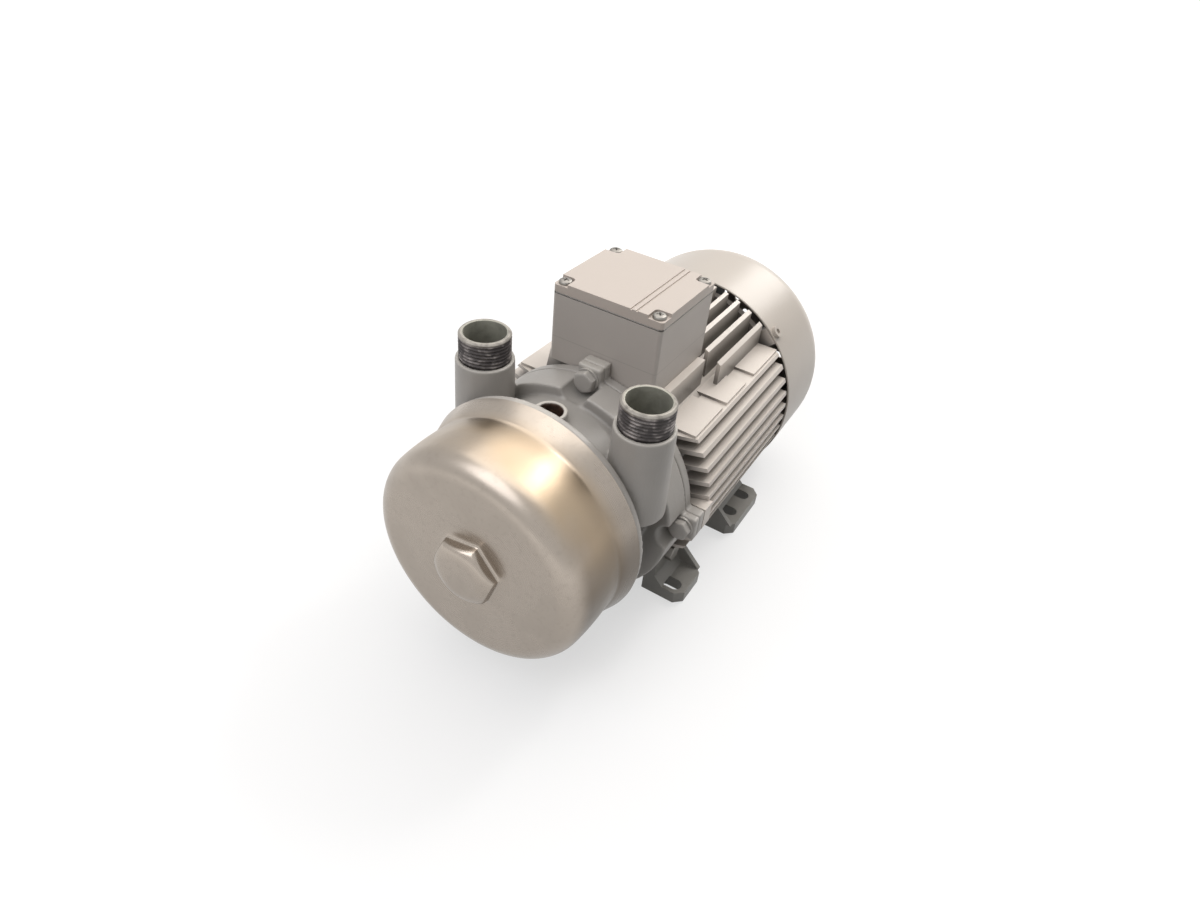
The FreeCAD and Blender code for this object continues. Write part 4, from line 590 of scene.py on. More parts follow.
class Finish(Enum):
    """The finishes of the pump."""

    HOUSING = PortedPaint("housing_paint", (0.370, 0.350, 0.326), (0.45, 0.425, 0.395), port=(0.0, -124.2))
    FRAME = FinnedPaint("frame_paint", (0.620, 0.565, 0.512), (0.64, 0.585, 0.53), mottle=0.35, wear=0.0)
    FOOT = CastPaint("foot_paint", (0.235, 0.226, 0.208), (0.29, 0.28, 0.258))
    BOX = BoxPaint("box_paint", (0.445, 0.408, 0.375), (0.455, 0.418, 0.384), 0.46, 0.00006, 0.5, 0.0)
    LID = CastPaint("lid_paint", (0.480, 0.422, 0.376), (0.485, 0.428, 0.382), 0.44, 0.00005, 0.2, 0.0)
    COWL = CastPaint("cowl_paint", (0.450, 0.405, 0.358), (0.47, 0.425, 0.377), 0.34, 0.00003, 0.3, 0.0)
    POT = DrawnSteel("drawn_steel", (0.385, 0.338, 0.292), (0.385, 0.300, 0.210), 0.27)
    THREAD = ThreadSteel("thread_steel", (0.300, 0.270, 0.260), (0.050, 0.044, 0.043), (0.330, 0.308, 0.275),
                         (0.330, 0.325, 0.280), 16.6, 58.0, -113.4, 197.0)
    ZINC = BareMetal("zinc_screw", (0.235, 0.222, 0.205), 0.46)
    STEEL = BareMetal("bright_steel", (0.52, 0.52, 0.52), 0.25, stained=0.1)
    LAMINATION = BareMetal("lamination_steel", (0.26, 0.26, 0.28), 0.45)
    BRONZE = BareMetal("impeller_bronze", (0.55, 0.36, 0.17), 0.35)
    BRASS = BareMetal("terminal_brass", (0.65, 0.48, 0.20), 0.28, stained=0.1)
    COPPER = Moulded("winding_varnish", (0.34, 0.10, 0.03), 0.35, 0.4)
    ALUMINIUM = BareMetal("cage_aluminium", (0.62, 0.62, 0.62), 0.4, stained=0.1)
    RUBBER = Moulded("black_rubber", (0.018, 0.018, 0.018), 0.6)
    GASKET = Moulded("grey_gasket", (0.34, 0.32, 0.30), 0.7)
    CARBON = Moulded("seal_carbon", (0.03, 0.03, 0.032), 0.35)
    CERAMIC = Moulded("seal_ceramic", (0.70, 0.67, 0.60), 0.2)
    FAN = Moulded("fan_plastic", (0.022, 0.022, 0.024), 0.5)
    GLAND = Moulded("gland_plastic", (0.17, 0.17, 0.175), 0.45)
    BOARD = Moulded("terminal_board_plastic", (0.045, 0.03, 0.022), 0.4)


@dataclass
class Workshop:
    """Makes each finish once and puts it on pieces and CAD nodes.

    Angles are in degrees: on kept solids, facets within flat become one face, edges over rounded
    get their bevel in a number of steps, and edges over crease stay sharp.
    """

    frame: dict
    flat: float = 0.6
    rounded: float = 35.0
    crease: float = 32.0
    steps: int = 2

    def __post_init__(self) -> None:
        """Start with no finish made."""
        self._made: dict[Finish, bpy.types.Material] = {}

    def dress(self, piece: bpy.types.Object, finish: Finish) -> None:
        """Give a piece one finish all over.

        Args:
            piece: the piece.
            finish: its finish.
        """
        if finish not in self._made:
            self._made[finish] = finish.value.make()
        piece.data.materials.clear()
        piece.data.materials.append(self._made[finish])
        for face in piece.data.polygons:
            face.material_index = 0

    def stand_in(self, piece: bpy.types.Object, finish: Finish, body: str, *nodes: str) -> None:
        """Dress a piece that stands for CAD nodes and let it ride on their body.

        Args:
            piece: the piece.
            finish: its finish.
            body: the body that carries it.
            nodes: the CAD nodes that it replaces.
        """
        self.dress(piece, finish)
        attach(piece, body)
        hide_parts(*nodes)
        LOG.info("%s stands for %s", piece.name, ", ".join(nodes))

    def keep(self, finish: Finish, *nodes: str, bevel: float = 0.0) -> None:
        """Keep CAD nodes, with soft edges where a bevel is given.

        Args:
            finish: their finish.
            nodes: the nodes.
            bevel: width of the rounded edges in millimetres.
        """
        for name in nodes:
            piece = self.frame["nodes"][name]
            self.dress(piece, finish)
            weld = piece.modifiers.new("weld", "WELD")
            weld.merge_threshold = SAME_POINT
            flat = piece.modifiers.new("whole_faces", "DECIMATE")
            flat.decimate_type = "DISSOLVE"
            flat.angle_limit = math.radians(self.flat)
            if bevel:
                soft = piece.modifiers.new("soft_edges", "BEVEL")
                soft.width = bevel * MM
                soft.segments = self.steps
                soft.limit_method = "ANGLE"
                soft.angle_limit = math.radians(self.rounded)
            for face in piece.data.polygons:
                face.use_smooth = True
            smooth = piece.modifiers.new("even_normals", "WEIGHTED_NORMAL")
            smooth.keep_sharp = True
            piece.data.set_sharp_from_angle(angle=math.radians(self.crease))
            LOG.info("%s keeps its solid", name)


def from_rings(name: str, rings: Sequence[Sequence[Vector]], closed: bool = False,
               sharp: float = CREASE) -> bpy.types.Object:
    """Skin a row of rings that have as many points each; a ring of one point is a tip.

    Args:
        name: the piece's name.
        rings: the rings, in millimetres.
        closed: whether the last ring joins the first.
        sharp: edges over this angle stay sharp, in degrees.

    Returns:
        The piece.
    """
    grid = bmesh.new()
    rows = [[grid.verts.new(point * MM) for point in ring] for ring in rings]
    pairs = list(zip(rows, rows[1:])) + ([(rows[-1], rows[0])] if closed else [])
    for low, high in pairs:
        count = max(len(low), len(high))
        for index in range(count):
            after = (index + 1) % count
            corners = [low[index % len(low)], low[after % len(low)],
                       high[after % len(high)], high[index % len(high)]]
            unique = list(dict.fromkeys(corners))
            if len(unique) > 2:
                grid.faces.new(unique)
    return finished(name, grid, sharp)


def finished(name: str, grid: bmesh.types.BMesh, sharp: float = CREASE) -> bpy.types.Object:
    """Turn a bmesh into a smooth shaded piece.

    Args:
        name: the piece's name.
        grid: its mesh, which is freed.
        sharp: edges over this angle stay sharp, in degrees.

    Returns:
        The piece.
    """
    bmesh.ops.recalc_face_normals(grid, faces=grid.faces)
    mesh = bpy.data.meshes.new(name)
    grid.to_mesh(mesh)
    grid.free()
    for face in mesh.polygons:
        face.use_smooth = True
    mesh.set_sharp_from_angle(angle=math.radians(sharp))
    piece = bpy.data.objects.new(name, mesh)
    bpy.context.scene.collection.objects.link(piece)
    return piece


def around(radius: float, angle: float, height: float) -> Vector:
    """A point about local Z, the angle in radians."""
    return Vector((radius * math.cos(angle), radius * math.sin(angle), height))


def circle_ring(radius: float, height: float, count: int = 1) -> list[Vector]:
    """A ring about local Z.

    Args:
        radius: its radius, or 0 for a tip.
        height: its height.
        count: its points.

    Returns:
        The points, or the tip alone.
    """
    if not radius:
        return [Vector((0.0, 0.0, height))]
    return [around(radius, math.tau * k / count, height) for k in range(count)]


def arc(centre: Point, radius: float, start: float, end: float, steps: int) -> list[Point]:
    """Points on an arc of a profile.

    Args:
        centre: the arc's centre.
        radius: its radius.
        start: the direction of its first point, in degrees.
        end: the direction of its last point, in degrees.
        steps: how many pieces it has.

    Returns:
        The points.
    """
    return [(centre[0] + radius * math.cos(math.radians(start + (end - start) * k / steps)),
             centre[1] + radius * math.sin(math.radians(start + (end - start) * k / steps)))
            for k in range(steps + 1)]


def curve(points: Sequence[Point], steps: int) -> list[Point]:
    """A quadratic curve of a profile.

    Args:
        points: its start, the point that it bends towards, and its end.
        steps: how many pieces it has.

    Returns:
        The points.
    """
    (ax, ay), (bx, by), (cx, cy) = points
    made = []
    for k in range(steps + 1):
        t = k / steps
        made.append(((1 - t) ** 2 * ax + 2 * t * (1 - t) * bx + t * t * cx,
                     (1 - t) ** 2 * ay + 2 * t * (1 - t) * by + t * t * cy))
    return made


def forward(level: float = SHAFT_LEVEL) -> Matrix:
    """Local Z along -Y from the shaft or the pot's axis; local X stays along X."""
    return Matrix.Translation((0.0, DATUM * MM, level * MM)) @ Matrix.Rotation(math.pi / 2, 4, "X")


def upright(x: float, y: float, z: float) -> Matrix:
    """Local Z upwards from a point in millimetres."""
    return Matrix.Translation((x * MM, (y + DATUM) * MM, z * MM))


def merged(name: str, pieces: Sequence[bpy.types.Object]) -> bpy.types.Object:
    """Join pieces into one mesh.

    Args:
        name: the joined piece's name.
        pieces: the pieces, which are deleted.

    Returns:
        The joined piece.
    """
    grid = bmesh.new()
    for piece in pieces:
        grid.from_mesh(piece.data)
        mesh = piece.data
        bpy.data.objects.remove(piece)
        bpy.data.meshes.remove(mesh)
    return finished(name, grid)


def hexagon_radius(angle: float, half_flats: float, turn: float) -> float:
    """Distance from a hexagon's centre to its side.

    Args:
        angle: the direction, in radians.
        half_flats: half the distance across the flats.
        turn: the angle of a corner, in degrees.

    Returns:
        The distance.
    """
    sixth = math.pi / 3
    inside = (angle - math.radians(turn)) % sixth - sixth / 2
    return half_flats / math.cos(inside)


def soft_min(first: float, second: float, blend: float) -> float:
    """The smaller of two lengths, with a rounded change between them."""
    share = max(blend - abs(first - second), 0.0) / blend
    return min(first, second) - share * share * blend / 4


def hexagon_ring(height: float, half_flats: float, limit: float, turn: float, count: int,
                 blend: float) -> list[Vector]:
    """A ring that is a hexagon cut off by a circle.

    Args:
        height: the ring's height.
        half_flats: half the distance across the flats.
        limit: the radius of the circle.
        turn: the angle of a corner, in degrees.
        count: points of the ring.
        blend: how far the change is rounded.

    Returns:
        The points.
    """
    ring = []
    for k in range(count):
        angle = math.tau * k / count
        radius = soft_min(hexagon_radius(angle, half_flats, turn), limit, blend)
        ring.append(around(radius, angle, height))
    return ring


def rounded_copy(node: bpy.types.Object, name: str, voxel: float, passes: int) -> bpy.types.Object:
    """A cast version of a CAD node: its solid remeshed finely, with every edge a little round.

    Args:
        node: the CAD node.
        name: the new piece's name.
        voxel: size of the mesh cells in millimetres.
        passes: smoothing passes.

    Returns:
        The piece.
    """
    piece = bpy.data.objects.new(name, node.data.copy())
    bpy.context.scene.collection.objects.link(piece)
    weld = piece.modifiers.new("weld", "WELD")
    weld.merge_threshold = SAME_POINT
    cells = piece.modifiers.new("cells", "REMESH")
    cells.mode = "VOXEL"
    cells.voxel_size = voxel * MM
    cells.use_smooth_shade = True
    soft = piece.modifiers.new("soft", "SMOOTH")
    soft.factor = 0.5
    soft.iterations = passes
    settle(piece)
    return piece


def settle(piece: bpy.types.Object) -> None:
    """Put the result of a piece's modifiers in place of its mesh and modifiers.

    Args:
        piece: the piece.
    """
    baked = bpy.data.meshes.new_from_object(piece.evaluated_get(bpy.context.evaluated_depsgraph_get()))
    old = piece.data
    piece.modifiers.clear()
    piece.data = baked
    baked.name = piece.name
    bpy.data.meshes.remove(old)


def cut(piece: bpy.types.Object, cutters: bpy.types.Object, sharp: float) -> None:
    """Cut one mesh out of another.

    Args:
        piece: the piece.
        cutters: what is cut out of it, which is deleted.
        sharp: edges over this angle stay sharp, in degrees.
    """
    tool = piece.modifiers.new("cut", "BOOLEAN")
    tool.operation = "DIFFERENCE"
    tool.solver = "EXACT"
    tool.object = cutters
    settle(piece)
    bpy.data.objects.remove(cutters)
    piece.data.set_sharp_from_angle(angle=math.radians(sharp))


@dataclass
class Casing:
    """The drawn pot with its pressed spanner hexagon, about its own axis.

    The side is fullest at one station and falls off with the square of the distance from it. The
    neck is where the side turns out to the step and the rim. The hexagon's foot is a row of
    stations with the growth of its flats at each.
    """

    shop: Workshop
    radius: float = 75.4
    wall: float = 2.0
    face: float = 202.0
    corner: float = 14.4
    corner_start: float = 189.0
    waist: float = 155.5
    rim: float = 141.0
    rim_radius: float = 80.3
    half_flats: float = 20.0
    hexagon_turn: float = 10.0
    crown: float = 212.0
    crown_radius: float = 11.5
    crown_steps: int = 18
    dish: float = 0.002
    reach: float = 23.6
    shoulder: float = 203.0
    hexagon_foot: tuple[Point, ...] = ((203.8, 0.0), (203.3, 0.1), (202.9, 0.35), (202.55, 0.8),
                                       (202.25, 1.6), (202.05, 2.7), (201.95, 3.9))
    foot_reach: float = 22.9
    crown_blend: float = 2.0
    foot_blend: float = 1.2
    face_radii: tuple[float, ...] = (31.0, 37.0, 48.0, 56.0)
    points: int = 216
    bulge: float = 0.3
    swell: float = 0.0026
    fullest: float = 173.0
    side_top: float = 187.2
    side_step: float = 2.25
    side_rings: int = 13
    neck: float = 2.6
    step_radius: float = 76.1
    bell_radius: float = 74.3
    rim_edge: float = 0.35
    sharp: float = 50.0

    def side(self, station: float) -> float:
        """Radius of the side, which swells a little between the corner and the waist."""
        return self.radius + self.bulge - self.swell * (station - self.fullest) ** 2

    def crown_rings(self) -> list[list[Vector]]:
        """Rings from the crown's tip down the chamfered hexagon to the pot's face.

        Returns:
            The rings.
        """
        rings = [circle_ring(0.0, self.crown)]
        rings += [circle_ring(r, self.crown - self.dish * r * r, self.points) for r in (3.0, 6.0, 8.5)]
        height = self.crown - 0.2 - self.shoulder
        for k in range(self.crown_steps + 1):
            angle = math.pi / 2 * (1 - k / self.crown_steps)
            limit = self.crown_radius + (self.reach - self.crown_radius) * math.cos(angle)
            rings.append(hexagon_ring(self.shoulder + height * math.sin(angle), self.half_flats, limit,
                                      self.hexagon_turn, self.points, self.crown_blend))
        for level, grow in self.hexagon_foot:
            rings.append(hexagon_ring(level, self.half_flats + grow, self.foot_reach + grow,
                                      self.hexagon_turn, self.points, self.foot_blend))
        rings.append(circle_ring(28.0, self.face - 0.1, self.points))
        return rings

    def build(self) -> None:
        """Skin the pot inside and out."""
        inner = self.radius - self.wall
        slope = 2.0 * self.swell * (self.corner_start - self.fullest)
        lean = math.degrees(math.atan(slope))
        across = self.side(self.corner_start) - self.corner * math.cos(math.radians(lean))
        outside = [(29.4, self.face - 0.07)] + [(radius, self.face) for radius in self.face_radii]
        outside += arc((across, self.face - self.corner), self.corner, 90.0, lean, 16)
        levels = [self.side_top - self.side_step * k for k in range(self.side_rings)]
        outside += [(self.side(level), level) for level in levels]
        neck = self.side(self.waist + self.neck)
        outside += curve([(neck, self.waist + self.neck), (neck - 0.4, self.waist - 0.2),
                          (self.step_radius, self.waist - 2.0)], 6)
        outside += [(self.rim_radius - 0.2, self.rim + 0.9), (self.rim_radius, self.rim + self.rim_edge),
                    (self.rim_radius - self.rim_edge, self.rim),
                    (self.rim_radius - self.wall + 0.3, self.rim),
                    (self.rim_radius - self.wall, self.rim + 0.3)]
        inside = curve([(self.bell_radius, self.waist - 2.4), (inner, self.waist),
                        (inner, self.waist + 2.4)], 4)
        inner_centre = (self.radius - self.corner, self.face - self.corner)
        inside += arc(inner_centre, self.corner - self.wall, 0.0, 90.0, 10)
        inside += [(radius, self.face - self.wall) for radius in (40.0, 20.0, 0.0)]
        rings = self.crown_rings() + [circle_ring(r, s, self.points) for r, s in outside + inside]
        piece = from_rings("drawn_pot", rings, sharp=self.sharp)
        piece.data.transform(forward(POT_LEVEL))
        self.shop.stand_in(piece, Finish.POT, "housing", "casing_pot")


@dataclass
class Nipple:
    """A screwed pipe nipple: a worn thread, a chamfered mouth, a smooth bore and a plain end below."""

    shop: Workshop
    node: str
    x: float
    y: float = -113.4
    top: float = 197.0
    chamfer: float = 1.2
    seat: float = 179.4
    seat_radius: float = 15.9
    length: float = 31.0
    crest: float = 16.6
    depth: float = 0.85
    bore: float = 13.5
    pitch: float = 2.309
    rings_a_turn: float = 9.0
    runout: float = 1.6
    flank: float = 1.4
    margin: float = 0.02
    sharp: float = 50.0
    points: int = 96

    def thread_ring(self, height: float) -> list[Vector]:
        """One ring of the thread: its radius follows the helix, and the flanks are rounded by wear.

        Args:
            height: the ring's level.

        Returns:
            The points.
        """
        ring = []
        fade = min(1.0, max(0.0, (self.top - self.chamfer - height) / self.runout))
        mouth = max(0.0, height - (self.top - self.chamfer))
        for k in range(self.points):
            angle = math.tau * k / self.points
            turns = height / self.pitch + angle / math.tau
            groove = (0.5 - 0.5 * math.cos(math.tau * turns)) ** self.flank
            radius = min(self.crest - self.depth * groove * fade, self.crest - mouth)
            ring.append(around(radius, angle, height))
        return ring

    def build(self) -> None:
        """Skin the thread, the mouth, the bore and the end inside the boss."""
        count = self.points
        low = self.top - self.length
        steps = int((self.top - self.seat) / (self.pitch / self.rings_a_turn))
        rings = [circle_ring(self.seat_radius, low, count), circle_ring(self.seat_radius, self.seat, count)]
        threaded = self.top - self.seat - 2 * self.margin
        rings += [self.thread_ring(self.seat + self.margin + threaded * k / steps) for k in range(steps + 1)]
        rings += [circle_ring(radius, height, count) for radius, height in (
            (self.crest - self.chamfer - 0.3, self.top), (self.bore + 0.7, self.top),
            (self.bore + 0.15, self.top - 0.25), (self.bore, self.top - 0.8), (self.bore, self.top - 12.0),
            (self.bore, low))]
        piece = from_rings(f"{self.node}_threaded", rings, closed=True, sharp=self.sharp)
        piece.data.transform(upright(self.x, self.y, 0.0))
        self.shop.stand_in(piece, Finish.THREAD, "housing", self.node)


@dataclass
class HexBolts:
    """Hexagon bolts with chamfered heads in the four lugs.

    The chamfer is a row of drops below the head's top with the radius at each. Turns are the
    angles of the heads, in degrees.
    """

    shop: Workshop
    circle: float = 81.0
    seat: float = 84.6
    head: float = 5.3
    length: float = 14.5
    half_flats: float = 6.5
    chamfer: tuple[Point, ...] = ((0.12, 5.6), (0.35, 6.3), (0.75, 7.0), (1.3, 7.7))
    crown: float = 4.6
    face: float = 6.3
    blend: float = 0.3
    shank: float = 4.0
    turns: tuple[float, ...] = (10.0, 25.0, 3.0, 17.0)
    sharp: float = 30.0
    points: int = 72

    def bolt(self, turn: float) -> bpy.types.Object:
        """One bolt along local Z, its head's top highest.

        Args:
            turn: the angle of a corner of the head, in degrees.

        Returns:
            The bolt.
        """
        top = self.seat + self.head
        levels = [(top - drop, limit) for drop, limit in self.chamfer]
        levels += [(self.seat + 0.45, self.chamfer[-1][1]), (self.seat + 0.3, self.face)]
        rings = [circle_ring(0.0, top), circle_ring(self.crown, top - 0.02, self.points)]
        for level, limit in levels:
            rings.append(hexagon_ring(level, self.half_flats, limit, turn, self.points, self.blend))
        foot = self.seat - self.length
        rings += [circle_ring(radius, level, self.points) for radius, level in (
            (self.face, self.seat), (self.shank, self.seat), (self.shank, foot), (0.0, foot))]
        return from_rings("lug_bolt", rings, sharp=self.sharp)

    def build(self) -> None:
        """Place the bolts, each turned a little differently."""
        made = []
        for index, turn in enumerate(self.turns):
            piece = self.bolt(turn)
            spot = around(self.circle, math.pi / 2 * index, 0.0) * MM
            piece.data.transform(forward() @ Matrix.Translation(spot))
            made.append(piece)
        self.shop.stand_in(merged("lug_bolts", made), Finish.HOUSING, "housing", "pump_bolts")


@dataclass
class LidScrews:
    """Pan head screws with a cross recess at the corners of the lid."""

    shop: Workshop
    x: float = 33.8
    front: float = -63.2
    rear: float = -2.1
    seat: float = 218.8
    head: float = 4.4
    height: float = 2.6
    length: float = 18.8
    shank: float = 2.0
    dome_radius: float = 4.1
    dome_steps: int = 16
    cross_half: float = 0.55
    cross_reach: float = 2.3
    cross_depth: float = 1.3
    sharp: float = 35.0
    points: int = 48

    def top_point(self, radius: float, angle: float, turn: float) -> Vector:
        """A point of the domed head, sunk inside the cross.

        Args:
            radius: the point's distance from the screw's axis.
            angle: its direction, in radians.
            turn: the angle of the cross, in radians.

        Returns:
            The point.
        """
        x, y = radius * math.cos(angle), radius * math.sin(angle)
        u, v = (abs(x * math.cos(turn) + y * math.sin(turn)), abs(y * math.cos(turn) - x * math.sin(turn)))
        side = max(min((self.cross_half - min(u, v)) / 0.25, 1.0), 0.0)
        end = max(min((self.cross_reach - max(u, v)) / 0.5, 1.0), 0.0)
        dome = self.height - 0.9 * (radius / self.head) ** 4 - 0.25 * (radius / self.head) ** 2
        return Vector((x, y, dome - self.cross_depth * side * end))

    def screw(self, turn: float) -> bpy.types.Object:
        """One screw along local Z from its seat.

        Args:
            turn: the angle of the cross, in radians.

        Returns:
            The screw.
        """
        rings = [circle_ring(0.0, self.height - self.cross_depth)]
        for k in range(1, self.dome_steps + 1):
            radius = self.dome_radius * k / self.dome_steps
            rings.append([self.top_point(radius, math.tau * i / self.points, turn)
                          for i in range(self.points)])
        rings += [circle_ring(4.32, 1.25, self.points), circle_ring(self.head, 0.7, self.points),
                  circle_ring(self.head, 0.0, self.points), circle_ring(self.shank, 0.0, self.points),
                  circle_ring(self.shank, -self.length, self.points), circle_ring(0.0, -self.length)]
        return from_rings("lid_screw", rings, sharp=self.sharp)

    def build(self) -> None:
        """Place the screws at the corners."""
        made = []
        spots = [(x, y) for y in (self.front, self.rear) for x in (self.x, -self.x)]
        for index, (x, y) in enumerate(spots):
            piece = self.screw(0.5 + 1.1 * index)
            piece.data.transform(upright(x, y, self.seat))
            made.append(piece)
        self.shop.stand_in(merged("pan_head_screws", made), Finish.ZINC, "housing", "lid_screws")


@dataclass
class Cowl:
    """The pressed fan cowl with its rounded rear and grille.

    The grille holds the inner radius, the outer radius and the number of slots of each ring of
    slots. The cutters reach behind the cowl's rear plate and ahead of it.
    """

    shop: Workshop
    front: float = 82.6
    rear: float = 169.8
    radius: float = 89.0
    wall: float = 1.5
    dome: float = 31.0
    slot: float = 5.0
    grille: tuple[tuple[float, float, int], ...] = ((14.0, 33.0, 10), (37.0, 54.0, 20))
    behind: float = 2.0
    ahead: float = 4.0
    edge: float = 0.4
    sharp: float = 35.0
    points: int = 160

    def slots(self) -> bpy.types.Object:
        """All the grille slots as one cutting mesh with round ends.

        Returns:
            The cutting mesh.
        """
        made = []
        half = self.slot / 2
        low, high = -self.rear - self.behind, -self.rear + self.ahead
        for inner, outer, count in self.grille:
            outline = arc((outer - half, 0.0), half, -90.0, 90.0, 6)
            outline += arc((inner + half, 0.0), half, 90.0, 270.0, 6)
            middle = [((inner + outer) / 2, 0.0)]
            for k in range(count):
                turn = Matrix.Rotation(math.tau * k / count, 4, "Z")
                rings = [[turn @ Vector((x, y, level)) for x, y in points] for points, level in (
                    (middle, low), (outline, low), (outline, high), (middle, high))]
                made.append(from_rings("slot", rings))
        return merged("grille_slots", made)

    def build(self) -> None:
        """Turn the shell and cut its grille."""
        flat = self.radius - self.dome
        bend = self.dome - self.rear
        inner = self.radius - self.wall
        plate = (0.0, 8.0, 30.0)
        outside = [(radius, -self.rear) for radius in plate]
        outside += arc((flat, bend), self.dome, -90.0, 0.0, 20)
        lip = [(self.radius, -self.front - self.edge), (self.radius - self.edge, -self.front),
               (inner + self.edge, -self.front), (inner, -self.front - self.edge)]
        inside = arc((flat, bend), self.dome - self.wall, 0.0, -90.0, 16)
        inside += [(radius, self.wall - self.rear) for radius in reversed(plate)]
        rings = [circle_ring(radius, height, self.points) for radius, height in outside + lip + inside]
        shell = from_rings("cowl_shell", rings)
        cut(shell, self.slots(), self.sharp)
        shell.data.transform(forward())
        self.shop.stand_in(shell, Finish.COWL, "housing", "fan_cowl")


@dataclass
class Castings:
    """The painted castings: pump housing and drive end shield with round edges."""

    shop: Workshop
    cell: float = 0.95
    passes: int = 3

    def build(self) -> None:
        """Remesh the castings from their solids."""
        nodes = self.shop.frame["nodes"]
        for node in ("port_housing", "drive_end_shield"):
            piece = rounded_copy(nodes[node], f"{node}_casting", self.cell, self.passes)
            self.shop.stand_in(piece, Finish.HOUSING, "housing", node)


@dataclass
class Solids:
    """The nodes whose solids stay, each with its finish."""

    shop: Workshop

    def build(self) -> None:
        """Dress the kept nodes."""
        keep = self.shop.keep
        feet = [f"foot_{end}_{hand}" for end in ("front", "rear") for hand in ("left", "right")]
        keep(Finish.FRAME, "motor_frame", bevel=0.7)
        keep(Finish.FOOT, *feet, bevel=1.3)
        keep(Finish.HOUSING, "pump_bolt_washers", bevel=0.25)
        keep(Finish.BOX, "terminal_box", bevel=0.6)
        keep(Finish.LID, "terminal_box_lid", bevel=0.6)
        keep(Finish.FRAME, "fan_end_shield", bevel=0.5)
        keep(Finish.COWL, "cowl_screws", bevel=0.3)
        keep(Finish.ZINC, "foot_bolts", "box_screws", "drain_plug", "shield_screws", bevel=0.3)
        rings = [f"{end}_bearing_{ring}" for end in ("drive_end", "fan_end")
                 for ring in ("outer_ring", "inner_ring", "balls", "cage")]
        keep(Finish.STEEL, *rings, "shaft", "port_plate", "port_plate_screws", "impeller_key",
             "impeller_washer", "impeller_screw", "seal_spring", "fan_circlip", "bearing_spring_washer")
        keep(Finish.BRONZE, "impeller")
        keep(Finish.LAMINATION, "stator_core", "rotor_core")
        keep(Finish.COPPER, "stator_windings", bevel=1.5)
        keep(Finish.ALUMINIUM, "rotor_cage")
        keep(Finish.RUBBER, "pot_o_ring", "seal_seat_cup", "slinger_ring")
        keep(Finish.GASKET, "terminal_box_gasket")
        keep(Finish.CARBON, "seal_head")
        keep(Finish.CERAMIC, "seal_seat")
        keep(Finish.FAN, "cooling_fan", bevel=0.4)
        keep(Finish.GLAND, "cable_gland", "cable_gland_cap", "blanking_plug", "entry_locknuts", bevel=0.5)
        keep(Finish.BOARD, "terminal_board", bevel=0.4)
        keep(Finish.BRASS, "terminal_studs", "terminal_nuts", "terminal_links", bevel=0.15)


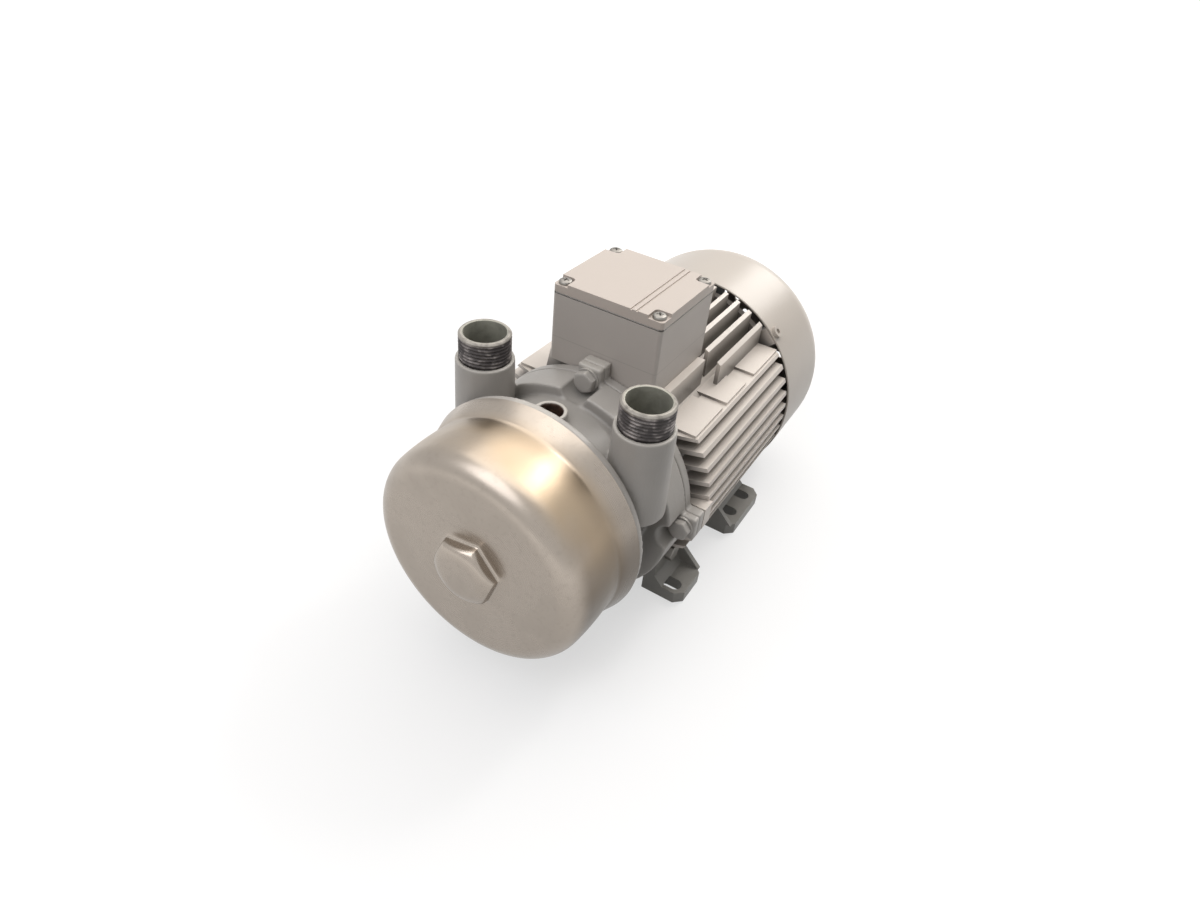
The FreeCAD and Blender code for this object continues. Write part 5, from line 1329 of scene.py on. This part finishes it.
@dataclass
class Studio:
    """Floor, lamps, world and the camera at the photograph's viewing angle.

    Angles are in degrees and lengths in metres. The sensor's width and the lens are in
    millimetres. The floor glows by near glow at the object and turns white from the first
    distance in far to the second, and dim world is the world's strength on the object.
    """

    azimuth: float = 28.24
    elevation: float = 38.08
    roll: float = 6.26
    position: Place = (0.20885, -0.4356, 0.4431)
    focal_pixels: float = 786.72
    picture_width: float = 1200.0
    sensor: float = 36.0
    lamp_target: Place = (0.0, -0.03, 0.08)
    floor_size: float = 30.0
    floor_level: float = -0.0002
    floor_grey: float = 0.34
    near_glow: float = 0.60
    far: Point = (0.25, 0.95)
    dim_world: float = 0.29

    def white_for_camera(self, graph: Graph) -> Socket:
        """1 for rays that come from the camera or were mirrored or refracted.

        Args:
            graph: the graph of the floor's material or of the world.

        Returns:
            The mask.
        """
        path = graph.make("ShaderNodeLightPath", {}, {})
        camera, glossy, through = (Socket(graph, path.outputs[name]) for name in (
            "Is Camera Ray", "Is Glossy Ray", "Is Transmission Ray"))
        return (camera + glossy + through).clamped()

    def floor(self) -> None:
        """A white floor that keeps the object's shadow and stays white far away."""
        bpy.ops.mesh.primitive_plane_add(size=self.floor_size, location=(0.0, 0.0, self.floor_level))
        floor = bpy.context.object
        floor.name = "studio_floor"
        material, graph = new_material("floor_white")
        far = graph.axis("X").reach(graph.axis("Y")).between(*self.far)
        grey = (self.floor_grey, self.floor_grey, self.floor_grey, 1.0)
        diffuse = graph.node("ShaderNodeBsdfDiffuse", {}, {"Color": grey})
        strength = self.white_for_camera(graph) * (self.near_glow + far * (1.0 - self.near_glow))
        glow = graph.node("ShaderNodeEmission", {}, {"Color": WHITE, "Strength": strength})
        both = graph.node("ShaderNodeAddShader", {}, {0: diffuse, 1: glow})
        graph.make("ShaderNodeOutputMaterial", {}, {"Surface": both})
        floor.data.materials.append(material)

    def world(self) -> None:
        """White for the camera and for reflections, dimmer on the object."""
        world = bpy.data.worlds.new("studio_world")
        world.use_nodes = True
        bpy.context.scene.world = world
        graph = Graph(world.node_tree)
        strength = self.dim_world + self.white_for_camera(graph) * (1.0 - self.dim_world)
        background = graph.node("ShaderNodeBackground", {}, {"Color": WHITE, "Strength": strength})
        graph.make("ShaderNodeOutputWorld", {}, {"Surface": background})

    def lamp(self, name: str, place: Place, size: float, power: float, colour: Colour) -> None:
        """A round lamp that faces the object.

        Args:
            name: the lamp's name.
            place: its position in metres.
            size: its diameter in metres.
            power: its power in watts.
            colour: its colour.
        """
        data = bpy.data.lights.new(name, "AREA")
        data.shape = "DISK"
        data.size = size
        data.energy = power
        data.color = colour
        lamp = bpy.data.objects.new(name, data)
        bpy.context.scene.collection.objects.link(lamp)
        lamp.location = place
        aim = Vector(self.lamp_target) - Vector(place)
        lamp.rotation_euler = aim.to_track_quat("-Z", "Y").to_euler()

    def camera(self) -> None:
        """The camera as fitted to the photograph, 1200 by 900."""
        data = bpy.data.cameras.new("photo_camera")
        data.sensor_width = self.sensor
        data.lens = self.focal_pixels / self.picture_width * self.sensor
        data.clip_start = 0.01
        camera = bpy.data.objects.new("photo_camera", data)
        bpy.context.scene.collection.objects.link(camera)
        az, el, roll = (math.radians(v) for v in (self.azimuth, self.elevation, self.roll))
        back = Vector((math.sin(az) * math.cos(el), -math.cos(az) * math.cos(el), math.sin(el)))
        right = (-back).cross(Vector((0.0, 0.0, 1.0))).normalized()
        up = right.cross(-back)
        side = math.cos(roll) * right + math.sin(roll) * up
        top = math.cos(roll) * up - math.sin(roll) * right
        turn = Matrix((side, top, back)).transposed().to_4x4()
        camera.matrix_world = Matrix.Translation(self.position) @ turn
        bpy.context.scene.camera = camera

    def build(self) -> None:
        """Set the stage."""
        bpy.context.scene.view_settings.view_transform = "Standard"
        self.floor()
        self.world()
        self.lamp("ceiling_light", (-0.25, 0.85, 2.40), 3.5, 58.0, (1.0, 0.965, 0.92))
        self.lamp("window_behind", (0.32, 0.80, 1.28), 0.25, 3.5, (1.0, 0.98, 0.96))
        self.lamp("low_window", (0.25, 1.90, 1.10), 0.9, 12.0, (1.0, 0.97, 0.93))
        self.lamp("front_fill", (-0.25, -0.95, 1.20), 1.2, 9.0, (0.97, 0.97, 1.0))
        self.camera()


def main() -> None:
    """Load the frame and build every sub-assembly."""
    logging.basicConfig(level=logging.INFO)
    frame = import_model()
    shop = Workshop(frame)
    for sub_assembly in (Solids(shop), Castings(shop), Casing(shop), Nipple(shop, "suction_nipple", 58.0),
                         Nipple(shop, "discharge_nipple", -58.0), HexBolts(shop), LidScrews(shop), Cowl(shop),
                         Studio()):
        sub_assembly.build()
        LOG.info("%s built", type(sub_assembly).__name__)


if __name__ == "__main__":
    main()
